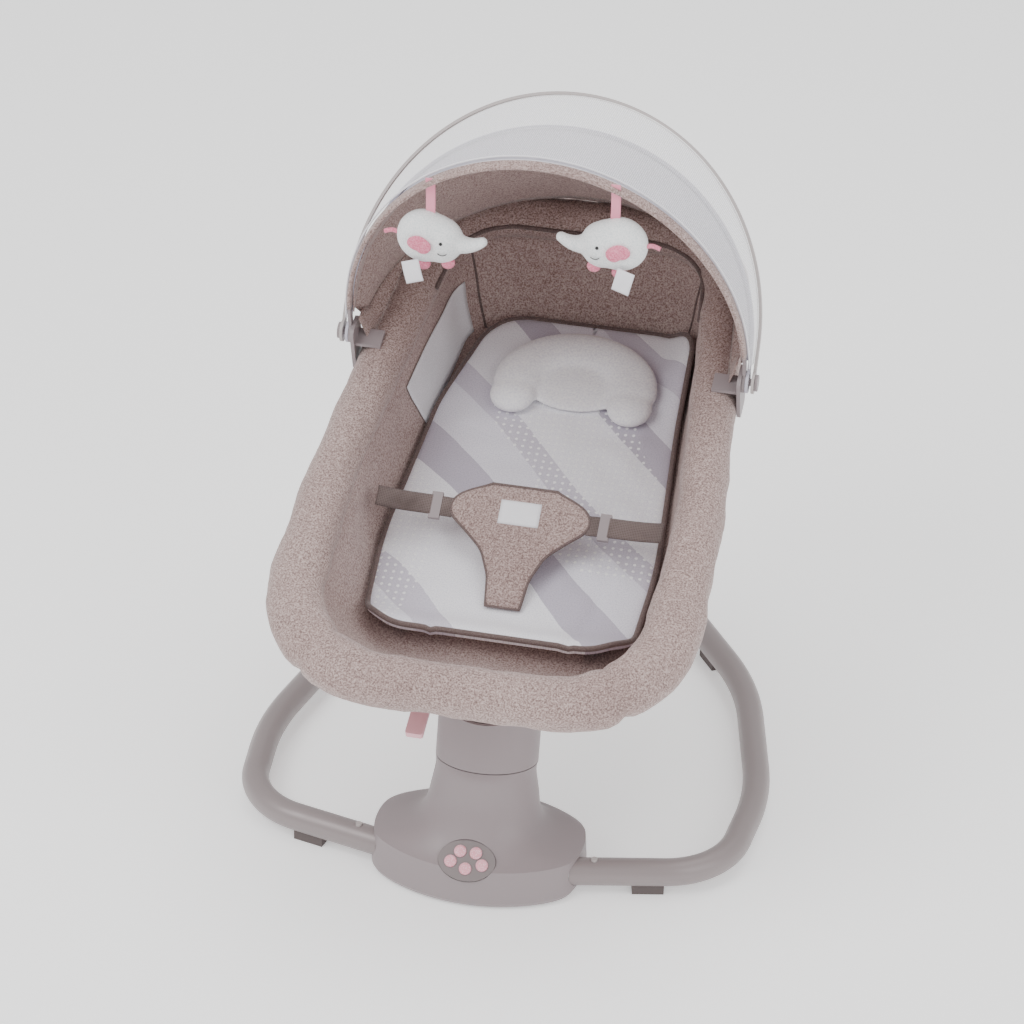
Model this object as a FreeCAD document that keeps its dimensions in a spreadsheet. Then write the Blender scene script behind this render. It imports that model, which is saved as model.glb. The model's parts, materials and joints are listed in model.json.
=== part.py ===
import FreeCAD, Part
import math
import os

import Sketcher

# A baby swing: a low pod with a flared column, a floor loop of tube, a neck that turns
# the padded seat from side to side, and a hood, a net and two hanging toys on the seat.
# +Z is up, -Y is the foot end and the button panel, and the origin is on the floor under
# the middle of the whole object. All sizes are in millimetres and degrees.

V = FreeCAD.Vector
X_AXIS = V(1, 0, 0)
Z_AXIS = V(0, 0, 1)
FULL_TURN = 360

doc = FreeCAD.newDocument("baby_swing")
sheet = doc.addObject("Spreadsheet::Sheet", "sizes")

DRIVING_SIZES = {
    # general
    "sheet_wall": 3, "soft_gap": 0.3, "running_gap": 0.05, "press_gap": 0.0,
    # pod and column
    "pod_half_width": 114, "pod_half_depth": 84, "pod_bulge_radius": 175, "pod_floor_gap": 3,
    "skirt_height": 28,
    "column_radius": 55, "seam_distance": 124, "neck_tilt": 13.5, "seam_gap": 1,
    # floor loop
    "loop_tube_radius": 15, "loop_tube_wall": 1.5, "loop_lift": 24, "loop_half_width": 270,
    "loop_length": 515, "spigot_length": 70,
    # drive
    "shaft_radius": 8, "bearing_radius": 14, "bearing_height": 10, "lower_bearing_at": 16,
    "upper_bearing_at": 100, "arm_at": 34, "arm_length": 46, "magnet_radius": 9,
    # controls
    "button_radius": 6.5, "button_stroke": 1.2, "panel_tilt": 42, "panel_half_width": 31,
    "panel_half_height": 22, "snap_radius": 3.5, "snap_stroke": 4,
    # seat
    "pivot_distance": 190, "seat_slope": 17.8, "rim_height": 158, "rim_foot": 115,
    "rim_half_width": 196, "rim_head": 558, "rim_head_half_width": 160, "bolster_radius": 25,
    "frame_radius": 8, "frame_wall": 1.5, "tub_wall": 6, "tub_depth": 118, "pad_thickness": 15,
    "pin_radius": 5, "bar_radius": 7,
    # hood
    "hinge_back": 318, "hinge_up": 35, "bracket_wall": 4, "bow_thickness": 3, "bow_width": 9,
    "bow_gap": 0.4, "net_gap": 3.4, "front_bow_rise": 253, "front_bow_leg": 22,
    "mid_bow_rise": 216, "mid_bow_leg": 30, "net_bow_rise": 243, "net_bow_leg": 40,
    "hood_cloth": 2.5, "front_bow_lean": 1.8, "mid_bow_lean": 41.8, "net_bow_lean": 48.5,
    "rear_hem_lean": 92.3,
    # toys
    "toy_left_at": -115, "toy_right_at": 81, "ribbon_length": 27, "ribbon_width": 10,
}


class Size(float):
    """A number that remembers the sheet formula it was worked out from."""

    def __new__(cls, number, formula):
        size = super().__new__(cls, number)
        size.formula = formula
        return size

    def _join(self, other, symbol, number):
        return Size(number, f"({self.formula} {symbol} {formula_of(other)})")

    def __add__(self, other):
        return self._join(other, "+", float(self) + float(other))

    def __sub__(self, other):
        return self._join(other, "-", float(self) - float(other))

    def __mul__(self, other):
        return self._join(other, "*", float(self) * float(other))

    def __truediv__(self, other):
        return self._join(other, "/", float(self) / float(other))

    def __neg__(self):
        return Size(-float(self), f"(-{self.formula})")

    __radd__ = __add__
    __rmul__ = __mul__

    def __rsub__(self, other):
        return -self + other


def formula_of(number):
    return number.formula if isinstance(number, Size) else repr(float(number))


class Sizes:
    """The driving sizes by name, as the sheet holds them."""


size = Sizes()
for row, (alias, number) in enumerate(DRIVING_SIZES.items(), 1):
    sheet.set(f"A{row}", alias)
    sheet.set(f"B{row}", str(number))
    sheet.setAlias(f"B{row}", alias)
    setattr(size, alias, Size(number, f"sizes.{alias}"))
doc.recompute()


def bind(thing, **properties):
    """Ties each property to its sheet formula, or sets it where it has none."""
    for name, number in properties.items():
        if isinstance(number, Size):
            thing.setExpression(name, number.formula)
        else:
            setattr(thing, name, number)
    return thing


def turned(angle, axis=X_AXIS, at=V()):
    return FreeCAD.Placement(at, FreeCAD.Rotation(axis, angle))


def moved(x, y, z):
    return FreeCAD.Placement(V(x, y, z), FreeCAD.Rotation())


ALONG_X = FreeCAD.Rotation(V(0, 1, 0), 90)
ALONG_Y = FreeCAD.Rotation(V(1, 0, 0), -90)

NECK = turned(-size.neck_tilt)
SEAT = NECK.multiply(moved(0, 0, size.pivot_distance)).multiply(
    turned(size.neck_tilt + size.seat_slope))
HINGE = SEAT.multiply(moved(0, size.hinge_back, size.rim_height + size.hinge_up))
SUBPARTS = {}


def subpart(label, thing, frame=FreeCAD.Placement()):
    """Names a finished piece and puts it in its frame."""
    thing.Label = label
    thing.Placement = frame.multiply(thing.Placement)
    SUBPARTS[label] = thing
    return thing


def cylinder(name, radius, height, at=V(), turn=FreeCAD.Rotation()):
    rod = doc.addObject("Part::Cylinder", name)
    bind(rod, Radius=radius, Height=height)
    rod.Placement = FreeCAD.Placement(at, turn)
    return rod


def box(name, length, width, height, at):
    block = doc.addObject("Part::Box", name)
    bind(block, Length=length, Width=width, Height=height)
    block.Placement = FreeCAD.Placement(at, FreeCAD.Rotation())
    return block


def fuse(name, *things):
    union = doc.addObject("Part::MultiFuse", name)
    union.Shapes = list(things)
    return union


def cut(name, base, *tools):
    hollow = doc.addObject("Part::Cut", name)
    hollow.Base = base
    hollow.Tool = tools[0] if len(tools) == 1 else fuse(name + "_tools", *tools)
    return hollow


def solid(name, shape):
    feature = doc.addObject("Part::Feature", name)
    feature.Shape = shape
    return feature


def group(label, things, frame=FreeCAD.Placement()):
    """Separate solids that share one node."""
    bundle = doc.addObject("Part::Compound", label)
    bundle.Links = list(things)
    return subpart(label, bundle, frame)


def origin_plane(body, role):
    return next(item for item in body.Origin.OriginFeatures if item.Role == role)


def sketch_outline(body, role, corners):
    """A closed outline through (across, up) corners, each held by two bound distances."""
    sketch = body.newObject("Sketcher::SketchObject", body.Name + "_sketch")
    sketch.AttachmentSupport = [(origin_plane(body, role), "")]
    sketch.MapMode = "FlatFace"
    total = len(corners)
    for index, (across, up) in enumerate(corners):
        nxt = corners[(index + 1) % total]
        start = V(float(across), float(up), 0)
        end = V(float(nxt[0]), float(nxt[1]), 0)
        sketch.addGeometry(Part.LineSegment(start, end), False)
    for index in range(total):
        sketch.addConstraint(Sketcher.Constraint("Coincident", index, 2, (index + 1) % total, 1))
    for index, corner in enumerate(corners):
        for kind, axis_line, number in (("DistanceX", -2, corner[0]), ("DistanceY", -1, corner[1])):
            if float(number) == 0:
                sketch.addConstraint(Sketcher.Constraint("PointOnObject", index, 1, axis_line))
                continue
            held = sketch.addConstraint(
                Sketcher.Constraint(kind, -1, 1, index, 1, float(number)))
            if isinstance(number, Size):
                sketch.setExpression(f"Constraints[{held}]", number.formula)
    return sketch


def revolved(name, corners):
    """A turned piece: its half outline in (radius, height), spun about its own Z axis."""
    body = doc.addObject("PartDesign::Body", name)
    sketch = sketch_outline(body, "XZ_Plane", corners)
    spin = body.newObject("PartDesign::Revolution", name + "_spin")
    spin.Profile = sketch
    spin.ReferenceAxis = (sketch, ["V_Axis"])
    spin.Angle = FULL_TURN
    body.Tip = spin
    return body


def padded(name, corners, thickness):
    """A flat piece: its outline in X and Y, padded upwards."""
    body = doc.addObject("PartDesign::Body", name)
    sketch = sketch_outline(body, "XY_Plane", corners)
    pad = body.newObject("PartDesign::Pad", name + "_pad")
    pad.Profile = sketch
    bind(pad, Length=thickness)
    body.Tip = pad
    return body


def rectangle(half_width, half_depth):
    return [(-half_width, -half_depth), (half_width, -half_depth),
            (half_width, half_depth), (-half_width, half_depth)]


def rounded_path(points, radii, closed):
    """Straight runs joined by tangent arcs, as one wire."""
    total = len(points)
    edges = []
    ends = []
    for index, point in enumerate(points):
        if not closed and index in (0, total - 1):
            ends.append((point, point))
            continue
        before = (points[index - 1] - point).normalize()
        after = (points[(index + 1) % total] - point).normalize()
        half = before.getAngle(after) / 2
        reach = radii[index] / math.tan(half)
        middle = (before + after).normalize()
        crown = point + middle * (radii[index] / math.sin(half) - radii[index])
        start = point + before * reach
        end = point + after * reach
        ends.append((start, end))
        edges.append((index, Part.Arc(start, crown, end).toShape()))
    arcs = dict(edges)
    path = []
    last = total if closed else total - 1
    for index in range(total):
        if index in arcs:
            path.append(arcs[index])
        if index < last:
            run_start = ends[index][1]
            run_end = ends[(index + 1) % total][0]
            if run_start.distanceToPoint(run_end) > 1e-6:
                path.append(Part.makeLine(run_start, run_end))
    return Part.Wire(path)


def swept_tube(path, radius, bore=0):
    """A round tube along a wire."""
    start = path.OrderedVertexes[0].Point
    first = path.OrderedEdges[0]
    direction = first.tangentAt(first.FirstParameter)
    if start.distanceToPoint(first.valueAt(first.FirstParameter)) > 1e-6:
        direction = -first.tangentAt(first.LastParameter)
        start = first.valueAt(first.LastParameter)
    outer = Part.Wire(Part.makeCircle(radius, start, direction))
    tube = path.makePipeShell([outer], True, False)
    if bore:
        inner = Part.Wire(Part.makeCircle(bore, start, direction))
        tube = tube.cut(path.makePipeShell([inner], True, False))
    return tube


def mirrored(shape):
    return shape.mirror(V(), X_AXIS)


# ---------------------------------------------------------------- pod and column

SECTION_POINTS = 48
END_SHARPNESS = 14


def lens_reach(half_width, half_depth, angle):
    """Reach of the pod's outline: two shallow arcs cut short by a flat at each end."""
    across, deep = abs(math.cos(angle)), abs(math.sin(angle))
    bulge = size.pod_bulge_radius
    set_back = bulge - half_depth
    arc = math.sqrt((set_back * deep) ** 2 + bulge ** 2 - set_back ** 2) - set_back * deep
    flat = half_width / max(across, 1e-6)
    return (arc ** -END_SHARPNESS + flat ** -END_SHARPNESS) ** (-1 / END_SHARPNESS)


def pod_section(up, half_width, half_depth, roundness=0, tilt=0, back=0):
    """A closed smooth outline: the lens shape at roundness 0, an ellipse at 1."""
    points = []
    for index in range(SECTION_POINTS):
        angle = 2 * math.pi * index / SECTION_POINTS
        c, s = math.cos(angle), math.sin(angle)
        oval = 1 / math.hypot(c / half_width, s / half_depth)
        reach = oval * roundness
        if roundness < 1:
            reach += lens_reach(half_width, half_depth, angle) * (1 - roundness)
        points.append(V(reach * c, reach * s, 0))
    curve = Part.BSplineCurve()
    curve.interpolate(points, PeriodicFlag=True)
    wire = Part.Wire(curve.toShape())
    wire.Placement = turned(-tilt, X_AXIS, V(0, back, up))
    return wire


def column_point(distance):
    """A point on the neck's axis, measured along it from the floor."""
    lean = math.radians(size.neck_tilt)
    return V(0, distance * math.sin(lean), distance * math.cos(lean))


def pod_loft(inset, trim_top):
    """The flared pod. Inset shrinks it all round for the hollow inside."""
    wide = size.pod_half_width - inset
    deep = size.pod_half_depth - inset
    neck = size.column_radius - inset
    low = size.pod_floor_gap
    skirt = size.skirt_height - inset * 0.5
    shoulder = skirt + 14
    top = column_point(size.seam_distance - trim_top)
    lean = math.tan(math.radians(size.neck_tilt))
    lower = Part.makeLoft([pod_section(low, wide - 3, deep - 3), pod_section(low + 5, wide, deep),
                           pod_section(skirt, wide, deep - 6),
                           pod_section(shoulder, wide, deep - 10, 0.1)], True, True)
    flare = Part.makeLoft([
        pod_section(shoulder, wide, deep - 10, 0.1),
        pod_section(shoulder + 4, wide - 16, deep - 17, 0.3, 1, 2),
        pod_section(shoulder + 8, wide - 30, neck + 7, 0.6, 3, 4),
        pod_section(shoulder + 16, neck + 13, neck + 4, 0.9, 6, 9),
        pod_section(shoulder + 32, neck + 5, neck + 1, 1, 11, (shoulder + 32) * lean),
        pod_section(shoulder + 54, neck + 1, neck, 1, size.neck_tilt, (shoulder + 54) * lean),
        pod_section(top.z, neck, neck, 1, size.neck_tilt, top.y)], True, False)
    return lower.fuse(flare)


def loop_points():
    """The right half of the floor loop's centreline, from inside the pod to the back."""
    wide = size.loop_half_width
    long = size.loop_length
    lift = size.loop_lift
    return [V(80, -30, lift), V(wide - 8, 12, lift), V(wide + 7, 160, lift),
            V(wide - 38, long - 155, lift), V(wide - 145, long, lift), V(0, long, lift)]


LOOP_RADII = [0, 85, 300, 300, 100, 0]
loop_wire = rounded_path(loop_points(), LOOP_RADII, False)
pod_outer = pod_loft(0, size.seam_gap / 2)
pod_inner = pod_loft(size.sheet_wall, size.sheet_wall + 1)
spigot_direction = (loop_points()[1] - loop_points()[0]).normalize()


def along_loop(distance, up=0):
    """A point on the first straight run of the right-hand tube."""
    point = loop_points()[0] + spigot_direction * distance
    return point + V(0, 0, up)


def run_tube(start, length, radius):
    return Part.makeCylinder(radius, length, along_loop(start), spigot_direction)


# panel frame: origin at the middle of the button panel, +Z out of the panel
PANEL_MIDDLE = V(0, -63, 47)
PANEL = turned(size.panel_tilt, X_AXIS, PANEL_MIDDLE)


def panel_outline(extra, thickness, low):
    """An oval plate in the panel's frame."""
    wide = size.panel_half_width + extra
    tall = size.panel_half_height + extra
    oval = Part.Ellipse(V(), wide, tall).toShape()
    plate = Part.Face(Part.Wire(oval)).extrude(V(0, 0, thickness))
    plate.translate(V(0, 0, low))
    plate.Placement = PANEL.multiply(plate.Placement)
    return plate


BUTTON_PLACES = {
    "power_button": (0, -9), "timer_button": (-17, -3), "music_button": (-8.5, 9),
    "speed_button": (8.5, 9), "volume_button": (17, -3),
}
PANEL_THICKNESS = 4
BUTTON_FLANGE = 0.6
BUTTON_TRAVEL_ROOM = 3

shell = pod_outer.cut(pod_inner)
shell = shell.cut(panel_outline(size.soft_gap, 30, -8))
top_plate_hole = Part.makeCylinder(size.bearing_radius + 2, 60,
                                   column_point(size.seam_distance - 30),
                                   column_point(1))
shell = shell.cut(top_plate_hole)
tube_socket = run_tube(0, 120, size.loop_tube_radius + size.soft_gap)
socket_wall = run_tube(16, 26, size.loop_tube_radius + size.sheet_wall).common(pod_outer)
shell = shell.fuse(socket_wall.fuse(mirrored(socket_wall)))
shell = shell.cut(tube_socket).cut(mirrored(tube_socket))
SOCKET_BACK = 57
power_cut = Part.makeCylinder(6 + size.soft_gap, 40, V(0, SOCKET_BACK, 15), V(0, 1, 0))
shell = shell.cut(power_cut)
subpart("base_housing", solid("base_housing_shape", shell))

# the two halves of the floor loop and the plug that joins them at the back
tube_start = 36
half_loop = swept_tube(loop_wire, size.loop_tube_radius,
                       size.loop_tube_radius - size.loop_tube_wall)
inside_pod = run_tube(-5, tube_start - 8, size.loop_tube_radius + 5)
half_loop = half_loop.cut(inside_pod)
SNAP_AT = 50
snap_hole = Part.makeCylinder(size.snap_radius + size.soft_gap, 30, along_loop(SNAP_AT))
half_loop = half_loop.cut(snap_hole)
half_loop = half_loop.cut(Part.makeBox(20, 80, 80, V(-20, size.loop_length - 40, 0)))
half_gap = Part.makeBox(0.2, 80, 80, V(0, size.loop_length - 40, 0))
half_loop = half_loop.cut(half_gap)
subpart("loop_tube_right", solid("loop_right_shape", half_loop))
subpart("loop_tube_left", solid("loop_left_shape", mirrored(half_loop)))

plug_radius = size.loop_tube_radius - size.loop_tube_wall - 0.1
subpart("rear_joiner", cylinder("rear_joiner_rod", plug_radius, 90,
                                V(-45, size.loop_length, size.loop_lift), ALONG_X))

spigot = run_tube(-10, size.spigot_length + 10, plug_radius)
spigot = spigot.cut(run_tube(-12, size.spigot_length + 20, plug_radius - 2))
spigot = spigot.cut(Part.makeCylinder(size.snap_radius + size.soft_gap, 30, along_loop(SNAP_AT)))
subpart("spigot_right", solid("spigot_right_shape", spigot))
subpart("spigot_left", solid("spigot_left_shape", mirrored(spigot)))

snap_button = Part.makeCylinder(size.snap_radius, 9, along_loop(SNAP_AT, 8.2))
snap_head = Part.makeCylinder(size.snap_radius + 1.5, 1.6, along_loop(SNAP_AT, 6.6))
snap_button = snap_button.fuse(snap_head).removeSplitter()
subpart("snap_button_right", solid("snap_right_shape", snap_button))
subpart("snap_button_left", solid("snap_left_shape", mirrored(snap_button)))

# bottom cover, with the lower bearing's boss
COVER_WALL = 2.5
cover_low = size.pod_floor_gap
cover = Part.Face(pod_section(cover_low, size.pod_half_width - size.sheet_wall - 4,
                              size.pod_half_depth - size.sheet_wall - 4)).extrude(V(0, 0, COVER_WALL))
boss = Part.makeCylinder(size.bearing_radius + 3, 60, V(), column_point(1))
boss = boss.common(Part.makeBox(80, 80, 60, V(-40, -40, cover_low)))
boss = boss.common(Part.makeCylinder(60, size.lower_bearing_at + size.bearing_height / 2 + 10,
                                     column_point(-10), column_point(1)))
boss_bore = Part.makeCylinder(size.bearing_radius, 60,
                              column_point(size.lower_bearing_at - size.bearing_height / 2),
                              column_point(1))
BATTERY_X, BATTERY_Y = -62, 16
DOOR_HALF_X, DOOR_HALF_Y = 33, 28
door_hole = Part.makeBox(2 * DOOR_HALF_X + 0.6, 2 * DOOR_HALF_Y + 0.6, 10,
                         V(BATTERY_X - DOOR_HALF_X - 0.3, BATTERY_Y - DOOR_HALF_Y - 0.3, 0))
SCREW_PLACES = [(-52, -52), (52, -52), (-52, 52), (52, 52)]
SCREW_RADIUS = 1.6
SPEAKER_X, SPEAKER_Y = 62, 6
cover = cover.fuse(boss).cut(boss_bore).cut(door_hole)
for place in SCREW_PLACES:
    cover = cover.cut(Part.makeCylinder(SCREW_RADIUS + 0.1, 10, V(place[0], place[1], 0)))
for step in (-12, -4, 4, 12):
    cover = cover.cut(Part.makeBox(2.5, 26, 10, V(SPEAKER_X + step - 1.25, SPEAKER_Y - 13, 0)))
subpart("base_bottom_cover", solid("bottom_cover_shape", cover.removeSplitter()))

door = padded("battery_door_body", rectangle(DOOR_HALF_X, DOOR_HALF_Y), COVER_WALL)
door.Placement = moved(BATTERY_X, BATTERY_Y, cover_low)
subpart("battery_door", door)

CELL_RADIUS, CELL_LENGTH = 7.1, 50
cells = [cylinder(f"cell_{index}", CELL_RADIUS, CELL_LENGTH,
                  V(BATTERY_X - 22.5 + 15 * index, BATTERY_Y - CELL_LENGTH / 2, 13.2), ALONG_Y)
         for index in range(4)]
group("battery_cells", cells)

screws = []
for index, place in enumerate(SCREW_PLACES):
    screw = revolved(f"bottom_screw_{index}",
                     [(0, 0), (3, 0), (3, 1.8), (SCREW_RADIUS, 1.8), (SCREW_RADIUS, 12), (0, 12)])
    screw.Placement = moved(place[0], place[1], cover_low - 1.9)
    screws.append(screw)
group("bottom_screws", screws)

# feet: four pads under the pod and four saddles under the tubes
feet = []
for index, place in enumerate([(-75, -42), (75, -42), (-75, 46), (75, 46)]):
    foot = revolved(f"pod_foot_{index}", [(0, 0), (8, 0), (9, size.pod_floor_gap - 0.05),
                                          (0, size.pod_floor_gap - 0.05)])
    foot.Placement = moved(place[0], place[1], 0)
    feet.append(foot)
tube_low = size.loop_lift - size.loop_tube_radius
FRONT_FOOT_AT, REAR_FOOT_AT = 108, 94


def tube_foot(start, end, distance):
    """A block hollowed to sit under a straight run of tube."""
    direction = (end - start).normalize()
    middle = start + direction * distance
    blank = Part.makeBox(34, 16, tube_low + 5, V(-17, -8, 0))
    angle = math.degrees(math.atan2(direction.y, direction.x))
    blank.Placement = turned(angle, Z_AXIS, V(middle.x, middle.y, 0))
    run = Part.makeCylinder(size.loop_tube_radius + 0.05, 100, middle - direction * 50, direction)
    return blank.cut(run)


corners = loop_points()
for index, saddle in enumerate([tube_foot(corners[0], corners[1], FRONT_FOOT_AT),
                                tube_foot(corners[3], corners[4], REAR_FOOT_AT)]):
    feet.append(solid(f"tube_foot_right_{index}", saddle))
    feet.append(solid(f"tube_foot_left_{index}", mirrored(saddle)))
group("rubber_feet", feet)

# electronics in the pod
subpart("control_board", box("board_blank", 84, 30, 1.6, V(-42, -62, 9)))
speaker = revolved("speaker_body", [(0, 0), (12, 0), (12, 5), (20, 9), (20, 11), (0, 11)])
speaker.Placement = moved(SPEAKER_X, SPEAKER_Y, 7)
subpart("speaker", speaker)
jack = Part.makeCylinder(6, 16, V(0, 0, 0), V(0, 1, 0)).cut(
    Part.makeCylinder(3, 11, V(0, 5.5, 0), V(0, 1, 0)))
jack = jack.fuse(Part.makeCylinder(1, 8, V(0, 5, 0), V(0, 1, 0)))
jack.translate(V(0, size.pod_half_depth - 15.5, 15))
subpart("power_socket", solid("jack_shape", jack))
panel = panel_outline(0, PANEL_THICKNESS, -PANEL_THICKNESS + 1)
for place in BUTTON_PLACES.values():
    hole = Part.makeCylinder(size.button_radius + size.soft_gap, 20, V(place[0], place[1], -10))
    hole.Placement = PANEL.multiply(hole.Placement)
    panel = panel.cut(hole)
subpart("control_panel", solid("panel_shape", panel))
for label, place in BUTTON_PLACES.items():
    button = revolved(label + "_body", [
        (0, -PANEL_THICKNESS - 0.8), (size.button_radius + BUTTON_FLANGE, -PANEL_THICKNESS - 0.8),
        (size.button_radius + BUTTON_FLANGE, -PANEL_THICKNESS + 0.7),
        (size.button_radius, -PANEL_THICKNESS + 0.7), (size.button_radius, 2.4),
        (size.button_radius - 1.2, 3.4), (0, 3.8)])
    button.Placement = PANEL.multiply(moved(place[0], place[1], 0))
    subpart(label, button)

# drive: a shaft on two bearings, an arm with a magnet and a fixed coil
SHAFT_LOW = 14
subpart("swing_shaft", cylinder("shaft_rod", size.shaft_radius, 152 - SHAFT_LOW,
                                V(0, 0, SHAFT_LOW)), NECK)
for label, at in (("lower_bearing", size.lower_bearing_at), ("upper_bearing", size.upper_bearing_at)):
    half = size.bearing_height / 2
    ring = revolved(label + "_ring", [
        (size.shaft_radius + size.running_gap, 0), (size.bearing_radius, 0),
        (size.bearing_radius, size.bearing_height),
        (size.shaft_radius + size.running_gap, size.bearing_height)])
    ring.Placement = moved(0, 0, at - half)
    subpart(label, ring, NECK)
core_top = size.seam_distance - size.sheet_wall - 1.5
core = revolved("bearing_housing_body", [
    (size.bearing_radius, size.upper_bearing_at - 6), (size.bearing_radius + 3, size.upper_bearing_at - 6),
    (size.bearing_radius + 3, core_top - 3), (34, core_top - 3), (34, core_top),
    (size.bearing_radius, core_top)])
subpart("bearing_housing", core, NECK)

arm_blank = Part.makeCylinder(size.shaft_radius + 6, 6).fuse(
    Part.makeBox(16, size.arm_length, 6, V(-8, 0, 0)))
arm_blank = arm_blank.cut(Part.makeCylinder(size.shaft_radius, 6)).cut(
    Part.makeCylinder(size.magnet_radius, 6, V(0, size.arm_length, 0)))
arm_blank = arm_blank.fuse(Part.makeCylinder(size.magnet_radius + 3, 6, V(0, size.arm_length, 0)).cut(
    Part.makeCylinder(size.magnet_radius, 6, V(0, size.arm_length, 0)))).removeSplitter()
arm_blank.translate(V(0, 0, size.arm_at))
subpart("magnet_arm", solid("arm_shape", arm_blank), NECK)
subpart("drive_magnet", cylinder("magnet_rod", size.magnet_radius, 6,
                                 V(0, size.arm_length, size.arm_at)), NECK)
COIL_RADIUS = 12
coil = revolved("coil_body", [(3, 0), (COIL_RADIUS, 0), (COIL_RADIUS, 2), (9, 2), (9, 9),
                              (COIL_RADIUS, 9), (COIL_RADIUS, 11), (3, 11)])
coil.Placement = moved(0, 56, 6)
subpart("drive_coil", coil)

# ---------------------------------------------------------------- neck
neck_low = size.seam_distance + size.seam_gap / 2
seat_in_neck = NECK.inverse().multiply(SEAT)
neck_tall = Part.makeCylinder(size.column_radius, 140, V(0, 0, neck_low))
neck_hollow = Part.makeCylinder(size.column_radius - size.sheet_wall, 140,
                                V(0, 0, neck_low + size.sheet_wall))
NECK_TOP_SLOPE = 8.4
NECK_TOP_UP = 11
slicer = Part.makeBox(200, 240, 120, V(-100, -120, 0))
slicer.Placement = seat_in_neck.multiply(moved(0, 0, NECK_TOP_UP)).multiply(turned(-NECK_TOP_SLOPE))
neck = neck_tall.cut(neck_hollow).cut(slicer)
neck = neck.cut(Part.makeCylinder(size.shaft_radius, 40, V(0, 0, neck_low - 5)))
subpart("neck_shell", solid("neck_shape", neck), NECK)

fork_low = 148
fork_radius = size.column_radius - size.sheet_wall - 0.1
fork = Part.makeCylinder(fork_radius, 5, V(0, 0, fork_low))
fork = fork.fuse(Part.makeCylinder(size.shaft_radius + 5, 20, V(0, 0, fork_low - 18)))
EAR_INNER, EAR_WALL, EAR_RADIUS = 20.4, 7, 13
for side in (-1, 1):
    left_face = EAR_INNER if side > 0 else -EAR_INNER - EAR_WALL
    ear_block = Part.makeBox(EAR_WALL, 2 * EAR_RADIUS, size.pivot_distance - fork_low,
                             V(left_face, -EAR_RADIUS, fork_low))
    ear_round = Part.makeCylinder(EAR_RADIUS, EAR_WALL, V(left_face, 0, size.pivot_distance), X_AXIS)
    fork = fork.fuse(ear_block).fuse(ear_round)
fork = fork.cut(Part.makeCylinder(size.pin_radius, 120, V(-60, 0, size.pivot_distance), X_AXIS))
fork = fork.cut(Part.makeCylinder(size.shaft_radius, 26, V(0, 0, fork_low - 22)))
subpart("recline_fork", solid("fork_shape", fork.removeSplitter()), NECK)
subpart("recline_pin", cylinder("pin_rod", size.pin_radius, 64, V(-32, 0, 0), ALONG_X), SEAT)

# ---------------------------------------------------------------- seat
# seat frame: origin at the recline pin, +Y to the head end, +Z out of the seat
SIDE_BEND_AT, SIDE_BEND_RADIUS = 150, 500
FOOT_TAPER, BEND_FLARE = 6, 2
RIM_FOOT_CORNER, RIM_HEAD_CORNER = 120, 95


def seat_outline(half_width, foot, head, head_half_width, foot_corner, head_corner, up):
    """A closed outline round the seat, rounded at its four corners and bowed at its sides."""
    points = [V(-half_width + FOOT_TAPER, foot, up), V(half_width - FOOT_TAPER, foot, up),
              V(half_width + BEND_FLARE, SIDE_BEND_AT, up), V(head_half_width, head, up),
              V(-head_half_width, head, up), V(-half_width - BEND_FLARE, SIDE_BEND_AT, up)]
    radii = [foot_corner, foot_corner, SIDE_BEND_RADIUS, head_corner, head_corner,
             SIDE_BEND_RADIUS]
    return rounded_path(points, radii, True)


def rim_outline(inset, up):
    """The rim's centreline, or a line inside it."""
    return seat_outline(size.rim_half_width - inset, -size.rim_foot + inset,
                        size.rim_head - inset, size.rim_head_half_width - inset,
                        RIM_FOOT_CORNER - inset, RIM_HEAD_CORNER - inset, up)


FLOOR_FOOT, FLOOR_INSET_HEAD = 12, 64
FLOOR_HALF_WIDTH, FLOOR_HEAD_HALF_WIDTH = 150, 125
FLOOR_FOOT_CORNER, FLOOR_HEAD_CORNER = 55, 50


def floor_outline(inset, up):
    """The inside edge of the seat's floor, or a line inside it."""
    return seat_outline(FLOOR_HALF_WIDTH - inset, FLOOR_FOOT + inset,
                        size.rim_head - FLOOR_INSET_HEAD - inset,
                        FLOOR_HEAD_HALF_WIDTH - inset, FLOOR_FOOT_CORNER - inset,
                        FLOOR_HEAD_CORNER - inset, up)


def rim_side(back):
    """The rim centreline's distance from the middle, along the seat's side."""
    foot_side = size.rim_half_width - FOOT_TAPER
    bend_side = size.rim_half_width + BEND_FLARE
    if back <= SIDE_BEND_AT:
        share = (back + size.rim_foot) / (SIDE_BEND_AT + size.rim_foot)
        return foot_side + (bend_side - foot_side) * share
    share = (back - SIDE_BEND_AT) / (size.rim_head - SIDE_BEND_AT)
    return bend_side + (size.rim_head_half_width - bend_side) * share


rim = size.rim_height
frame_path = rim_outline(0, rim)
frame_solid = swept_tube(frame_path, size.frame_radius)
frame_hollow = swept_tube(frame_path, size.frame_radius, size.frame_radius - size.frame_wall)
FRAME_SPLIT = 100
foot_side_box = Part.makeBox(800, 1000, 400, V(-400, FRAME_SPLIT - 1000.1, 0))
head_side_box = Part.makeBox(800, 1000, 400, V(-400, FRAME_SPLIT + 0.1, 0))
subpart("seat_frame_foot", solid("frame_foot_shape", frame_hollow.common(foot_side_box)), SEAT)
subpart("seat_frame_head", solid("frame_head_shape", frame_hollow.common(head_side_box)), SEAT)

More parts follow.
